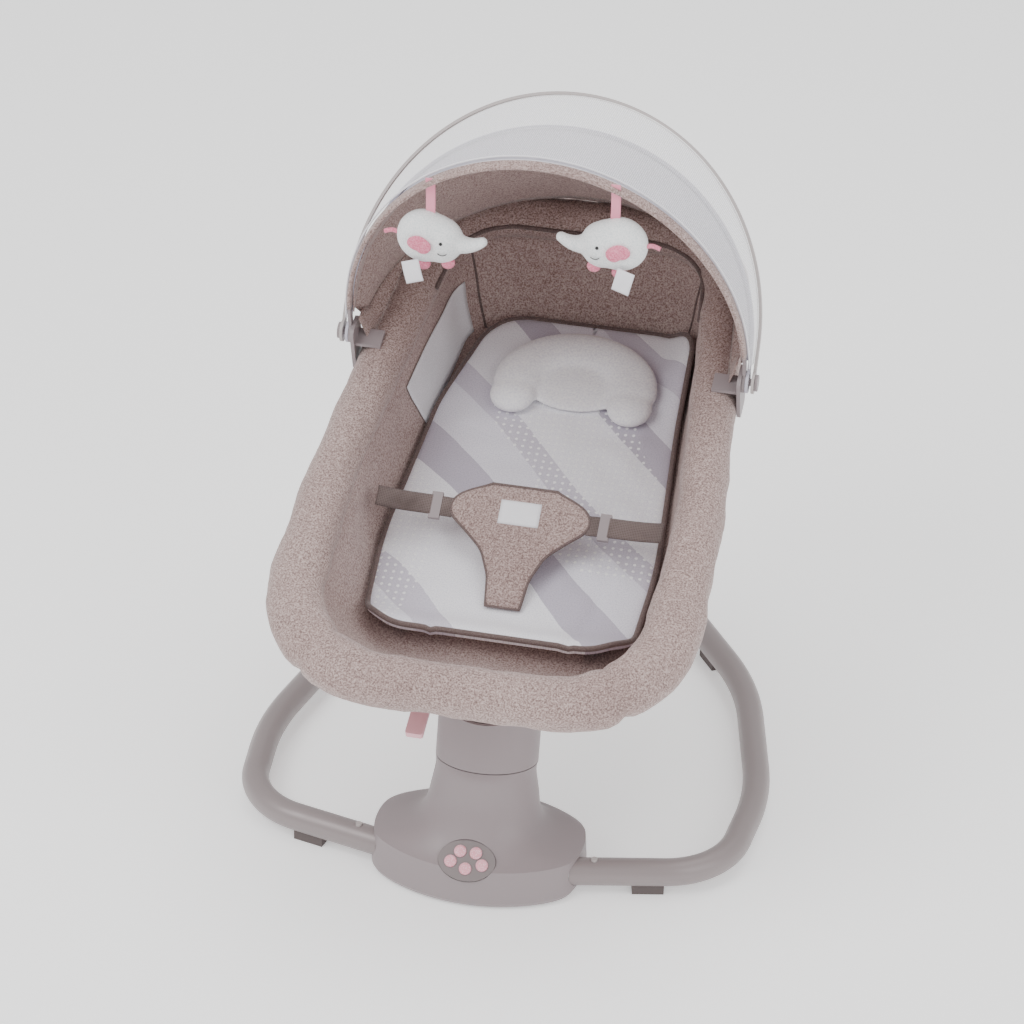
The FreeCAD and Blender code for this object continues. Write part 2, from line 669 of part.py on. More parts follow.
# two cross bars carry the frame on the hub
BAR_PLACES = {"support_bar_front": 12, "support_bar_rear": 145}
FLOOR_BOARD = 5
tub_low = rim - size.tub_depth
board_low = tub_low - size.soft_gap - FLOOR_BOARD
bar_up = board_low - size.bar_radius - 2.5
SLEEVE_RADIUS, SLEEVE_LENGTH = 11.5, 36
sleeves = []
bars = []
for label, back in BAR_PLACES.items():
    side = rim_side(back)
    path = rounded_path([V(-side, back, rim - SLEEVE_RADIUS), V(-side + 28, back, bar_up),
                         V(side - 28, back, bar_up), V(side, back, rim - SLEEVE_RADIUS)],
                        [0, 30, 30, 0], False)
    bars.append(swept_tube(path, size.bar_radius))
    tube = swept_tube(path, size.bar_radius, size.bar_radius - 1.5)
    subpart(label, solid(label + "_shape", tube), SEAT)
    for sign in (-1, 1):
        sleeve = Part.makeCylinder(SLEEVE_RADIUS, SLEEVE_LENGTH,
                                   V(sign * side, back - SLEEVE_LENGTH / 2, rim), V(0, 1, 0))
        sleeves.append(sleeve.cut(frame_solid).cut(bars[-1]))
group("frame_connectors", [solid(f"sleeve_{index}", sleeve) for index, sleeve in enumerate(sleeves)],
      SEAT)

bolster = swept_tube(frame_path, size.bolster_radius).cut(frame_solid)
for taken in bars:
    bolster = bolster.cut(taken)
for back in BAR_PLACES.values():
    for sign in (-1, 1):
        bolster = bolster.cut(Part.makeCylinder(SLEEVE_RADIUS, SLEEVE_LENGTH,
                                                V(sign * rim_side(back), back - SLEEVE_LENGTH / 2, rim),
                                                V(0, 1, 0)))
subpart("rim_bolster", solid("bolster_shape", bolster), SEAT)

# the fabric tub: walls from under the rim down to the floor
TUB_TOP_INSET = 9
tub_top = rim - size.bolster_radius + 0.4
wall = size.tub_wall
tub_outer = Part.makeLoft([rim_outline(TUB_TOP_INSET, tub_top), floor_outline(-wall, tub_low)],
                          True, True)
tub_inner = Part.makeLoft([rim_outline(TUB_TOP_INSET + wall, tub_top),
                           floor_outline(0, tub_low + wall)], True, True)
tub = tub_outer.cut(tub_inner)
for taken in bars:
    tub = tub.cut(taken)
subpart("seat_cover", solid("tub_shape", tub), SEAT)
board = Part.Face(floor_outline(10, board_low)).extrude(V(0, 0, FLOOR_BOARD))
subpart("seat_board", solid("board_shape", board), SEAT)

pad_low = tub_low + wall + size.soft_gap
pad_top = pad_low + size.pad_thickness
pad = Part.Face(floor_outline(1, pad_low)).extrude(V(0, 0, size.pad_thickness))
subpart("seat_pad", solid("seat_pad_shape", pad), SEAT)
PILLOW_LOW, PILLOW_HIGH, PILLOW_HALF, PILLOW_SIDE = 334, 466, 100, 14
PILLOW_THICKNESS = 24
pillow_corners = [V(PILLOW_SIDE - PILLOW_HALF, PILLOW_LOW, pad_top + size.soft_gap),
                  V(PILLOW_SIDE + PILLOW_HALF, PILLOW_LOW, pad_top + size.soft_gap),
                  V(PILLOW_SIDE + PILLOW_HALF, PILLOW_HIGH, pad_top + size.soft_gap),
                  V(PILLOW_SIDE - PILLOW_HALF, PILLOW_HIGH, pad_top + size.soft_gap)]
pillow = Part.Face(rounded_path(pillow_corners, [45] * 4, True)).extrude(V(0, 0, PILLOW_THICKNESS))
subpart("head_pillow", solid("pillow_shape", pillow), SEAT)

# harness: a T-shaped pad that stands over the lap, and a strap to each side wall
HARNESS_SLOPE, HARNESS_FOOT, HARNESS_THICKNESS = 20, 68, 8
HARNESS_LIFT = 4
harness_frame = SEAT.multiply(turned(HARNESS_SLOPE, X_AXIS, V(0, HARNESS_FOOT, pad_top + HARNESS_LIFT)))
crotch = padded("crotch_pad_body", [(-18, 0), (18, 0), (22, 34), (34, 62), (56, 82), (74, 96),
                                    (76, 112), (62, 126), (30, 137), (-30, 137), (-62, 126),
                                    (-76, 112), (-74, 96), (-56, 82), (-34, 62), (-22, 34)],
                HARNESS_THICKNESS)
subpart("crotch_pad", crotch, harness_frame)
STRAP_FROM, STRAP_AT, STRAP_WIDTH, STRAP_THICKNESS = 77, 93, 22, 2
STRAP_LENGTH = 130
within_walls = tub_inner.copy()
within_walls.Placement = harness_frame.inverse().multiply(SEAT)
for label, left in (("waist_strap_left", -STRAP_FROM - STRAP_LENGTH), ("waist_strap_right", STRAP_FROM)):
    strap = Part.makeBox(STRAP_LENGTH, STRAP_WIDTH, STRAP_THICKNESS, V(left, STRAP_AT, 3))
    subpart(label, solid(label + "_shape", strap.common(within_walls)), harness_frame)
sliders = []
for sign in (-1, 1):
    frame_block = Part.makeBox(12, 30, 6, V(sign * 92 - 6, STRAP_AT - 4, 1))
    slot = Part.makeBox(12, STRAP_WIDTH + 0.6, STRAP_THICKNESS + 0.6, V(sign * 92 - 6, STRAP_AT - 0.3, 2.7))
    sliders.append(solid(f"slider_{sign}", frame_block.cut(slot)))
group("strap_sliders", sliders, harness_frame)

# hub under the seat: carries the bars, turns on the recline pin, holds the release lever
HUB_HALF_WIDTH, HUB_FOOT, HUB_HEAD, HUB_LOW = 50, -20, 172, 16
LUG_HALF_WIDTH, LUG_RADIUS = 20, 13
LEVER_AT, LEVER_UP, LEVER_PIN = 29, 22, 3
LEVER_LOW, LEVER_THICKNESS = 9, 7
hub = Part.makeBox(2 * HUB_HALF_WIDTH, HUB_HEAD - HUB_FOOT, board_low - 0.2 - HUB_LOW,
                   V(-HUB_HALF_WIDTH, HUB_FOOT, HUB_LOW))
hub = hub.makeFillet(6, [edge for edge in hub.Edges if abs(edge.tangentAt(0).z) > 0.9])
lug = Part.makeCylinder(LUG_RADIUS, 2 * LUG_HALF_WIDTH, V(-LUG_HALF_WIDTH, 0, 0), X_AXIS)
lug_block = Part.makeBox(2 * LUG_HALF_WIDTH, 2 * LUG_RADIUS, HUB_LOW + 1,
                         V(-LUG_HALF_WIDTH, -LUG_RADIUS, 0))
hub = hub.fuse(lug).fuse(lug_block)
hub = hub.cut(Part.makeCylinder(size.pin_radius + size.running_gap, 100, V(-50, 0, 0), X_AXIS))
hub = hub.cut(Part.makeCylinder(LEVER_PIN + size.running_gap, 14.2,
                                V(-HUB_HALF_WIDTH, LEVER_AT, LEVER_UP), X_AXIS))
for taken in bars:
    hub = hub.cut(taken)
subpart("seat_hub", solid("hub_shape", hub.removeSplitter()), SEAT)
LEVER_INNER = -size.column_radius - 2.5
LEVER_WIDTH = 19
lever = Part.makeBox(LEVER_WIDTH, 110, LEVER_THICKNESS, V(LEVER_INNER - LEVER_WIDTH, -74, LEVER_LOW))
lever = lever.makeFillet(3, [edge for edge in lever.Edges if abs(edge.tangentAt(0).z) > 0.9])
lever = lever.fuse(Part.makeBox(LEVER_WIDTH, 14, LEVER_UP - LEVER_LOW,
                                V(LEVER_INNER - LEVER_WIDTH, LEVER_AT - 7, LEVER_LOW)))
lever = lever.fuse(Part.makeCylinder(7, LEVER_WIDTH, V(LEVER_INNER - LEVER_WIDTH, LEVER_AT, LEVER_UP), X_AXIS))
lever = lever.fuse(Part.makeCylinder(LEVER_PIN, 26, V(LEVER_INNER - 6, LEVER_AT, LEVER_UP), X_AXIS))
subpart("release_lever", solid("lever_shape", lever.removeSplitter()), SEAT)

# ---------------------------------------------------------------- hood and net
# hinge frame: origin between the two brackets' pins, +Z along the seat's own up
PIVOT_RADIUS, DISC_RADIUS = 4, 12
bracket_inner = rim_side(size.hinge_back - 16) + size.bolster_radius + 0.8
bracket_outer = bracket_inner + size.bracket_wall
thickness = size.bow_thickness
front_half = bracket_outer + size.bow_gap + thickness / 2
mid_half = front_half + thickness + size.bow_gap
net_half = mid_half + thickness + size.net_gap
pin_end = net_half + thickness / 2 + size.bow_gap
for label, sign in (("canopy_bracket_right", 1), ("canopy_bracket_left", -1)):
    plate = Part.makeBox(size.bracket_wall, 32, size.hinge_up + 24, V(bracket_inner, -16, -size.hinge_up - 10))
    plate = plate.makeFillet(8, [edge for edge in plate.Edges if abs(edge.tangentAt(0).x) > 0.9])
    hook_up = size.bolster_radius + 1 - size.hinge_up
    hook = Part.makeBox(30, 24, 4, V(bracket_inner - 28, -12, hook_up))
    pin = Part.makeCylinder(PIVOT_RADIUS, pin_end - bracket_outer + 1, V(bracket_outer - 1, 0, 0), X_AXIS)
    cap = Part.makeCylinder(9, 3, V(pin_end, 0, 0), X_AXIS)
    bracket = plate.fuse(hook).fuse(pin).fuse(cap).removeSplitter()
    subpart(label, solid(label + "_shape", bracket if sign > 0 else mirrored(bracket)), HINGE)


def arch_edges(half_width, leg, rise, start):
    """Straight legs and a half ellipse over them, from the right foot to the left one."""
    if half_width >= rise:
        oval = Part.Ellipse(V(half_width, 0, leg), V(0, 0, leg + rise), V(0, 0, leg))
        crown = Part.ArcOfEllipse(oval, 0, math.pi).toShape()
    else:
        oval = Part.Ellipse(V(0, 0, leg + rise), V(-half_width, 0, leg), V(0, 0, leg))
        crown = Part.ArcOfEllipse(oval, -math.pi / 2, math.pi / 2).toShape()
    return [Part.makeLine(V(half_width, 0, start), V(half_width, 0, leg)), crown,
            Part.makeLine(V(-half_width, 0, leg), V(-half_width, 0, start))]


def arch_band(half_width, leg, rise, wall_thickness, start=0):
    """The closed outline of an arched strip, in the X-Z plane."""
    half = wall_thickness / 2
    outer = arch_edges(half_width + half, leg, rise + half, start)
    inner = arch_edges(half_width - half, leg, rise - half, start)
    right = Part.makeLine(V(half_width - half, 0, start), V(half_width + half, 0, start))
    left = Part.makeLine(V(-half_width - half, 0, start), V(-half_width + half, 0, start))
    return Part.Wire(outer + [left] + inner[::-1] + [right])


def bow(half_width, leg, rise):
    """A flat springy bow with an eye round each pin."""
    strip = Part.Face(arch_band(half_width, leg, rise, thickness)).extrude(V(0, size.bow_width, 0))
    strip.translate(V(0, -size.bow_width / 2, 0))
    for sign in (-1, 1):
        eye = Part.makeCylinder(DISC_RADIUS, thickness, V(sign * half_width - thickness / 2, 0, 0), X_AXIS)
        strip = strip.fuse(eye)
    bore = Part.makeCylinder(PIVOT_RADIUS + size.running_gap, 2 * half_width + 20,
                             V(-half_width - 10, 0, 0), X_AXIS)
    return strip.cut(bore).removeSplitter()


FRONT = HINGE.multiply(turned(-size.front_bow_lean))
MID = HINGE.multiply(turned(-size.mid_bow_lean))
NET = HINGE.multiply(turned(-size.net_bow_lean))
BOWS = {"front_bow": (front_half, size.front_bow_leg, size.front_bow_rise, FRONT),
        "mid_bow": (mid_half, size.mid_bow_leg, size.mid_bow_rise, MID),
        "net_bow": (net_half, size.net_bow_leg, size.net_bow_rise, NET)}
for label, (half_width, leg, rise, frame) in BOWS.items():
    subpart(label, solid(label + "_shape", bow(half_width, leg, rise)), frame)

CLOTH_START, REAR_START, NET_START = 18, 27, 20
cloth = size.hood_cloth
cloth_in = thickness / 2 + 0.8 + cloth / 2


def cloth_section(half_width, leg, rise, lean, start, inwards, wall_thickness):
    band = arch_band(half_width - inwards, leg, rise - inwards, wall_thickness, start)
    band.Placement = turned(-lean)
    return band


front_edge = cloth_section(front_half, size.front_bow_leg, size.front_bow_rise,
                           size.front_bow_lean + 3, CLOTH_START, cloth_in + 1.5, cloth)
mid_front = cloth_section(mid_half, size.mid_bow_leg, size.mid_bow_rise,
                          size.mid_bow_lean - 0.3, CLOTH_START, cloth_in, cloth)
mid_rear = cloth_section(mid_half, size.mid_bow_leg, size.mid_bow_rise,
                         size.mid_bow_lean + 0.3, REAR_START, cloth_in, cloth)
REAR_LEG, REAR_CLEARANCE = 30, 10
rear_rise = size.rim_head - size.hinge_back - REAR_LEG + REAR_CLEARANCE
rear_edge = cloth_section(front_half - 9, REAR_LEG, rear_rise, size.rear_hem_lean - 0.5,
                          REAR_START, 0, cloth)
subpart("hood_front_panel", solid("front_panel_shape",
                                  Part.makeLoft([front_edge, mid_front], True, True)), HINGE)
subpart("hood_rear_panel", solid("rear_panel_shape",
                                 Part.makeLoft([mid_rear, rear_edge], True, True)), HINGE)
NET_CLOTH = 1
net_front = cloth_section(front_half, size.front_bow_leg, size.front_bow_rise,
                          size.front_bow_lean + 1.6, NET_START, -thickness / 2 - 2.6, NET_CLOTH)
net_rear = cloth_section(net_half, size.net_bow_leg, size.net_bow_rise,
                         size.net_bow_lean - 0.3, NET_START, thickness / 2 + 0.8, NET_CLOTH)
subpart("net_panel", solid("net_panel_shape", Part.makeLoft([net_front, net_rear], True, True)), HINGE)

# ---------------------------------------------------------------- toys
# each toy hangs straight down from the front bow; its frame is upright, at the ribbon's top


def bow_under(across):
    """Height of the front bow's lower face above the hinge line, at a place across it."""
    inner_half = front_half - thickness / 2
    inner_rise = size.front_bow_rise - thickness / 2
    return size.front_bow_leg + inner_rise * math.sqrt(1 - (across / inner_half) ** 2)


BODY_HALF = (36, 19, 31)
PLUSH_ROUNDING = 17
for label, across, facing in (("left", size.toy_left_at, 1), ("right", size.toy_right_at, -1)):
    lowest = min(bow_under(across - size.ribbon_width / 2), bow_under(across + size.ribbon_width / 2))
    hang_point = FRONT.multVec(V(across, 0, lowest - 0.8))
    toy_frame = moved(hang_point.x, hang_point.y, hang_point.z)
    ribbon = box(f"ribbon_{label}_web", size.ribbon_width, 1.5, size.ribbon_length,
                 V(-size.ribbon_width / 2, -0.75, -size.ribbon_length))
    subpart(f"toy_ribbon_{label}", ribbon, toy_frame)
    middle = V(0, 0, -size.ribbon_length - BODY_HALF[2] - 1)
    toy = Part.makeBox(2 * BODY_HALF[0], 2 * BODY_HALF[1], 2 * BODY_HALF[2],
                       middle - V(*BODY_HALF))
    toy = toy.makeFillet(PLUSH_ROUNDING, toy.Edges)
    trunk = Part.makeCone(12, 6, 34, middle + V(facing * 26, 0, -2), V(facing, 0, 0))
    toy = toy.fuse(trunk)
    for foot_at in (-6, 20):
        toy = toy.fuse(Part.makeCylinder(7, 18, middle + V(facing * foot_at, 0, -38), Z_AXIS))
    subpart(f"toy_elephant_{label}", solid(f"elephant_{label}_shape", toy), toy_frame)

# ---------------------------------------------------------------- check and write
doc.recompute()
box_of_all = FreeCAD.BoundBox()
for thing in SUBPARTS.values():
    box_of_all.add(thing.Shape.optimalBoundingBox(False, False))
centre_y = box_of_all.Center.y
for thing in SUBPARTS.values():
    thing.Placement = moved(0, -centre_y, 0).multiply(thing.Placement)
doc.recompute()

for thing in doc.Objects:
    if "Invalid" in thing.State or "Error" in thing.State:
        raise RuntimeError(f"{thing.Label} didn't build: {thing.State}")
os.makedirs("parts", exist_ok=True)
for label, thing in SUBPARTS.items():
    shape = thing.Shape
    if shape.isNull() or not shape.isValid() or shape.Volume <= 0:
        raise RuntimeError(f"{label} has no valid solid")
    shape.exportStep(f"parts/{label}.step")
print(f"{len(SUBPARTS)} sub-parts; the floor point under the pod is at y {-centre_y:.2f}")
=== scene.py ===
import json
import math
import bpy
import bmesh
from mathutils import Matrix, Vector, noise


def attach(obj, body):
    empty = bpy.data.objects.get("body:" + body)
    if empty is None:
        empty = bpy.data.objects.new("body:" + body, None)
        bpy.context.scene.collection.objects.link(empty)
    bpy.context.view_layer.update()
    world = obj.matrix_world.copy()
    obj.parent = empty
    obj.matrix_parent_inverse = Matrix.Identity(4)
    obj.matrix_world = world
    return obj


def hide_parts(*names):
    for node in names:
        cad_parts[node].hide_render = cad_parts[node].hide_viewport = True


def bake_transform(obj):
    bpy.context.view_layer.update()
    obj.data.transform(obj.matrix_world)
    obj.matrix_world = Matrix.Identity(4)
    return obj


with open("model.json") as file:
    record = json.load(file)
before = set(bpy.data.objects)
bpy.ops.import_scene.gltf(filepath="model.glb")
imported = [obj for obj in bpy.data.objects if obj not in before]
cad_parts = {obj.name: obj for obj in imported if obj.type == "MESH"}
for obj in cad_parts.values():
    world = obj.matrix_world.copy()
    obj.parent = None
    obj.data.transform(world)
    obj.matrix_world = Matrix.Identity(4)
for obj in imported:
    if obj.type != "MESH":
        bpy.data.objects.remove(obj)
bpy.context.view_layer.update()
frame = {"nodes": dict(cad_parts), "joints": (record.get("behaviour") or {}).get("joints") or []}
MM = 0.001

# ---------------------------------------------------------------- materials


def linear(code):
    """An sRGB hex colour as linear red, green, blue and alpha."""
    parts = [int(code[i:i + 2], 16) / 255 for i in (0, 2, 4)]
    return [c / 12.92 if c <= 0.04045 else ((c + 0.055) / 1.055) ** 2.4 for c in parts] + [1]


def add(tree, kind, settings=(), **links):
    """Adds one node, sets it and wires its inputs."""
    node = tree.nodes.new(kind)
    for key, value in dict(settings).items():
        if isinstance(key, str) and hasattr(node, key):
            setattr(node, key, value)
        else:
            node.inputs[key].default_value = value
    for key, source in links.items():
        name = int(key[1:]) if key[0] == "i" and key[1:].isdigit() else key.replace("_", " ")
        tree.links.new(source, node.inputs[name])
    return node


def finish(name, colour="888888", **shader):
    """A material with its shader, ready for a pattern."""
    material = bpy.data.materials.new(name)
    material.use_nodes = True
    surface = material.node_tree.nodes["Principled BSDF"]
    surface.inputs["Base Color"].default_value = linear(colour)
    for key, value in shader.items():
        surface.inputs[key.replace("_", " ")].default_value = value
    return material, material.node_tree, surface


def colour_bands(tree, source, stops):
    """Turns a grey pattern into colours at the given places."""
    ramp = add(tree, "ShaderNodeValToRGB", i0=source)
    elements = ramp.color_ramp.elements
    while len(elements) < len(stops):
        elements.new(0.5)
    for element, (place, code) in zip(elements, stops):
        element.position = place
        element.color = linear(code)
    return ramp.outputs["Color"]


def relief(tree, surface, height, depth, strength):
    """Raises the surface by a pattern."""
    bump = add(tree, "ShaderNodeBump", {"Strength": strength, "Distance": depth}, Height=height)
    tree.links.new(bump.outputs["Normal"], surface.inputs["Normal"])


def melange(name, dark, middle, light, fleck=1.7):
    """Melange polyester: yarns of two shades, so short flecks and a soft sheen."""
    material, tree, surface = finish(name, middle, Roughness=0.92, Sheen_Weight=0.25,
                                     Sheen_Roughness=0.5, Specular_IOR_Level=0.2)
    place = add(tree, "ShaderNodeTexCoord").outputs["Object"]
    yarn = add(tree, "ShaderNodeTexNoise", {"Scale": 1 / (fleck * MM), "Detail": 3.0, "Roughness": 0.65},
               Vector=place).outputs["Fac"]
    tone = add(tree, "ShaderNodeTexNoise", {"Scale": 9.0, "Detail": 2.0}, Vector=place).outputs["Fac"]
    shade = colour_bands(tree, yarn, [(0.36, dark), (0.5, middle), (0.64, light)])
    cast = colour_bands(tree, tone, [(0.3, "f0eded"), (0.7, "ffffff")])
    both = add(tree, "ShaderNodeMix", {"data_type": "RGBA", "blend_type": "MULTIPLY", 0: 1.0},
               i6=shade, i7=cast)
    tree.links.new(both.outputs[2], surface.inputs["Base Color"])
    relief(tree, surface, yarn, 0.6 * MM, 0.55)
    return material


def moulded(name, colour, rough=0.42, grain=0.9, coat=0.0):
    """Injection-moulded plastic: a fine spark-eroded grain that softens the highlights."""
    material, tree, surface = finish(name, colour, Roughness=rough, IOR=1.5, Coat_Weight=coat,
                                     Coat_Roughness=0.15)
    place = add(tree, "ShaderNodeTexCoord").outputs["Object"]
    pits = add(tree, "ShaderNodeTexNoise", {"Scale": 1 / (grain * MM), "Detail": 2.0}, Vector=place)
    cloud = add(tree, "ShaderNodeTexNoise", {"Scale": 25.0, "Detail": 3.0}, Vector=place)
    gloss = add(tree, "ShaderNodeMapRange", {"To Min": rough - 0.05, "To Max": rough + 0.06},
                Value=cloud.outputs["Fac"])
    tree.links.new(gloss.outputs["Result"], surface.inputs["Roughness"])
    relief(tree, surface, pits.outputs["Fac"], 0.05 * MM, 0.25)
    return material


def plain_metal(name, colour, rough, metallic=1.0, streak=40.0):
    """Drawn or painted steel: long faint streaks along the work."""
    material, tree, surface = finish(name, colour, Roughness=rough, Metallic=metallic)
    place = add(tree, "ShaderNodeTexCoord").outputs["Object"]
    grain = add(tree, "ShaderNodeTexNoise", {"Scale": streak, "Detail": 5.0}, Vector=place)
    gloss = add(tree, "ShaderNodeMapRange", {"To Min": rough - 0.06, "To Max": rough + 0.08},
                Value=grain.outputs["Fac"])
    tree.links.new(gloss.outputs["Result"], surface.inputs["Roughness"])
    relief(tree, surface, grain.outputs["Fac"], 0.05 * MM, 0.2)
    return material


def woven(name, first, second, pitch, sheen=0.2, alpha=1.0, rough=0.88):
    """Plain-woven cloth on the sheet's own map: threads cross at one pitch."""
    material, tree, surface = finish(name, first, Roughness=rough, Sheen_Weight=sheen,
                                     Specular_IOR_Level=0.25, Alpha=alpha)
    cut = add(tree, "ShaderNodeTexCoord").outputs["UV"]
    waves = [add(tree, "ShaderNodeTexWave", {"Scale": 0.314 / (pitch * MM), "bands_direction": way,
                                            "Distortion": 1.5, "Detail": 1.0}, Vector=cut)
             for way in ("X", "Y")]
    cross = add(tree, "ShaderNodeMath", {"operation": "MAXIMUM"}, i0=waves[0].outputs["Fac"],
                i1=waves[1].outputs["Fac"]).outputs[0]
    body = add(tree, "ShaderNodeTexCoord").outputs["Object"]
    cast = add(tree, "ShaderNodeTexNoise", {"Scale": 30.0, "Detail": 3.0}, Vector=body).outputs["Fac"]
    mixed = add(tree, "ShaderNodeMath", {"operation": "MULTIPLY"}, i0=cross, i1=cast).outputs[0]
    tree.links.new(colour_bands(tree, mixed, [(0.1, second), (0.5, first)]), surface.inputs["Base Color"])
    relief(tree, surface, cross, 0.3 * MM, 0.35)
    return material


# the two heathers: speckled taupe outside, and inside the same heather painted lighter, a painted
# brightening to make up for the shade where less light falls
HEATHER = melange("melange_polyester_taupe", "78635f", "a7918c", "c7b3ad", 1.8)
LINING_BRIGHTENED = melange("melange_polyester_lining_brightened", "866f6b", "b29b96", "cfbdb8", 1.8)
# a dark even line round every seam
PIPING = melange("grosgrain_piping_taupe", "5a4c4a", "6f605d", "857572", 1.0)
# plastics: matt warm grey casings, a shinier panel, pink for what the hand uses
ABS_GREY = moulded("moulded_abs_warm_grey", "93888a")
ABS_LIGHT = moulded("moulded_abs_light_grey", "b5adab", 0.45)
GLOSS_PANEL = moulded("polished_abs_panel", "7d7373", 0.16, 2.0, 0.6)
PINK_LEVER = moulded("moulded_abs_pink", "eab4bd", 0.4)
BLACK_ABS = moulded("moulded_abs_black", "1b1b1c", 0.5)
RUBBER = moulded("moulded_rubber_taupe", "5d5453", 0.8)
CIRCUIT = moulded("epoxy_board_green", "1e5236", 0.35)
# metals: a soft painted gloss on the tubes, brighter streaks on bare steel
TUBE = plain_metal("powder_coated_steel_tube", "8f8585", 0.36, 0.15, 60.0)
STEEL = plain_metal("drawn_steel", "b9babd", 0.32, 1.0, 200.0)
MAGNET = plain_metal("sintered_ferrite", "3a3a3c", 0.6, 0.4)
COPPER = plain_metal("wound_copper_wire", "b4693d", 0.35, 1.0, 500.0)
# woven cloths: pale canopy, ribbed dark webbing, glossy ribbon and plain tape
COTTON = woven("cotton_canopy_lilac_grey", "dcd9e1", "c6c2ce", 1.6, 0.3)
WEBBING = woven("ribbed_polyester_webbing", "7b6d6a", "4d4240", 1.8, 0.15)
RIBBON = woven("satin_ribbon_pink", "f49db2", "e0809a", 1.1, 0.5, 1.0, 0.5)
TAPE = woven("cotton_tape_white", "f6f5f8", "e2e0e8", 1.2, 0.2)
# short pile with no visible weave
PLUSH = melange("short_pile_plush_white", "dfe6e7", "f1f5f5", "ffffff", 1.6)
PLUSH_PINK = melange("short_pile_plush_pink", "d66f89", "e8879f", "f3a3b6", 1.6)
JERSEY = melange("cotton_jersey_white", "e6e5ec", "f4f3f7", "ffffff", 2.2)


def rubber_keys():
    """Silicone keys: pale pink with fine raised dots."""
    material, tree, surface = finish("silicone_key_pink", "f2b9c4", Roughness=0.55, IOR=1.43,
                                     Subsurface_Weight=0.1, Subsurface_Scale=0.002)
    place = add(tree, "ShaderNodeTexCoord").outputs["Object"]
    dots = add(tree, "ShaderNodeTexVoronoi", {"Scale": 1 / (1.5 * MM)}, Vector=place).outputs["Distance"]
    tree.links.new(colour_bands(tree, dots, [(0.15, "fbdde2"), (0.5, "eba6b3")]),
                   surface.inputs["Base Color"])
    relief(tree, surface, dots, 0.2 * MM, 0.5)
    return material


def plywood():
    """Stained board: straight grain under a taupe stain, so it stays quiet below the seat."""
    material, tree, surface = finish("stained_plywood_taupe", "7b6f6b", Roughness=0.6)
    place = add(tree, "ShaderNodeTexCoord").outputs["Object"]
    grain = add(tree, "ShaderNodeTexWave", {"Scale": 40.0, "Distortion": 6.0, "Detail": 3.0}, Vector=place)
    tree.links.new(colour_bands(tree, grain.outputs["Fac"], [(0.2, "6d625e"), (0.8, "877b76")]),
                   surface.inputs["Base Color"])
    return material


def printed_cotton():
    """Printed cotton for the pad: white and lilac-grey bands, one kind of band dotted."""
    material, tree, surface = finish("printed_cotton_pad", "f2f1f6", Roughness=0.9, Sheen_Weight=0.3,
                                     Specular_IOR_Level=0.2)
    cut = add(tree, "ShaderNodeTexCoord").outputs["UV"]
    swirl = add(tree, "ShaderNodeTexNoise", {"Scale": 4.5, "Detail": 0.0}, Vector=cut).outputs["Fac"]
    flow = add(tree, "ShaderNodeTexWave", {"Scale": 2.1, "Distortion": 3.2, "Detail": 1.0,
                                          "Detail Scale": 0.8, "bands_direction": "DIAGONAL",
                                          "wave_profile": "SAW"}, Vector=cut).outputs["Fac"]
    bands = colour_bands(tree, flow, [(0.0, "f6f5f9"), (0.33, "c3bdc9"), (0.52, "ebe9f1"),
                                      (0.76, "d3ced9"), (0.9, "f6f5f9")])
    bands.node.color_ramp.interpolation = "CONSTANT"
    dots = add(tree, "ShaderNodeTexVoronoi", {"Scale": 1 / (9 * MM), "Randomness": 0.0}, Vector=cut)
    spot = add(tree, "ShaderNodeMath", {"operation": "LESS_THAN", 1: 0.2}, i0=dots.outputs["Distance"])
    where = add(tree, "ShaderNodeMath", {"operation": "GREATER_THAN", 1: 0.5}, i0=swirl)
    both = add(tree, "ShaderNodeMath", {"operation": "MULTIPLY"}, i0=spot.outputs[0], i1=where.outputs[0])
    print_mix = add(tree, "ShaderNodeMix", {"data_type": "RGBA"}, i0=both.outputs[0], i6=bands)
    print_mix.inputs[7].default_value = linear("ffffff")
    thread = add(tree, "ShaderNodeTexNoise", {"Scale": 1 / (1.4 * MM), "Detail": 3.0},
                 Vector=cut).outputs["Fac"]
    haze = colour_bands(tree, thread, [(0.3, "d9d6e0"), (0.6, "ffffff")])
    final = add(tree, "ShaderNodeMix", {"data_type": "RGBA", "blend_type": "MULTIPLY", 0: 0.8},
                i6=print_mix.outputs[2], i7=haze)
    tree.links.new(final.outputs[2], surface.inputs["Base Color"])
    relief(tree, surface, thread, 0.4 * MM, 0.4)
    return material


def mosquito_net(name, colour, thread):
    """Knitted polyester net: clear holes between fine white threads, drawn coarse enough to see."""
    material, tree, surface = finish(name, colour, Roughness=0.8, Sheen_Weight=0.3)
    cut = add(tree, "ShaderNodeTexCoord").outputs["UV"]
    holes = add(tree, "ShaderNodeTexVoronoi", {"Scale": 1 / (1.8 * MM), "Randomness": 0.25},
                Vector=cut).outputs["Distance"]
    solid = add(tree, "ShaderNodeMapRange", {"From Min": 0.3, "From Max": 0.55, "To Min": thread,
                                            "To Max": min(1.0, thread + 0.4)}, Value=holes)
    tree.links.new(solid.outputs["Result"], surface.inputs["Alpha"])
    return material


KEYS = rubber_keys()
PLYWOOD = plywood()
PAD_PRINT = printed_cotton()
NET = mosquito_net("knitted_polyester_net", "f4f2f7", 0.38)
WINDOW = mosquito_net("warp_knit_window_mesh", "f4f3f8", 0.75)
EYE = moulded("polished_bead_black", "141416", 0.12)

# ---------------------------------------------------------------- shaping helpers

SLOPE = math.radians(17.8)
JOINT_AT = {joint["name"]: joint["pos_m"] for joint in frame["joints"] if "pos_m" in joint}
PIVOT = Vector(JOINT_AT["recline"])
HINGE = Vector(JOINT_AT["hood_fold"])


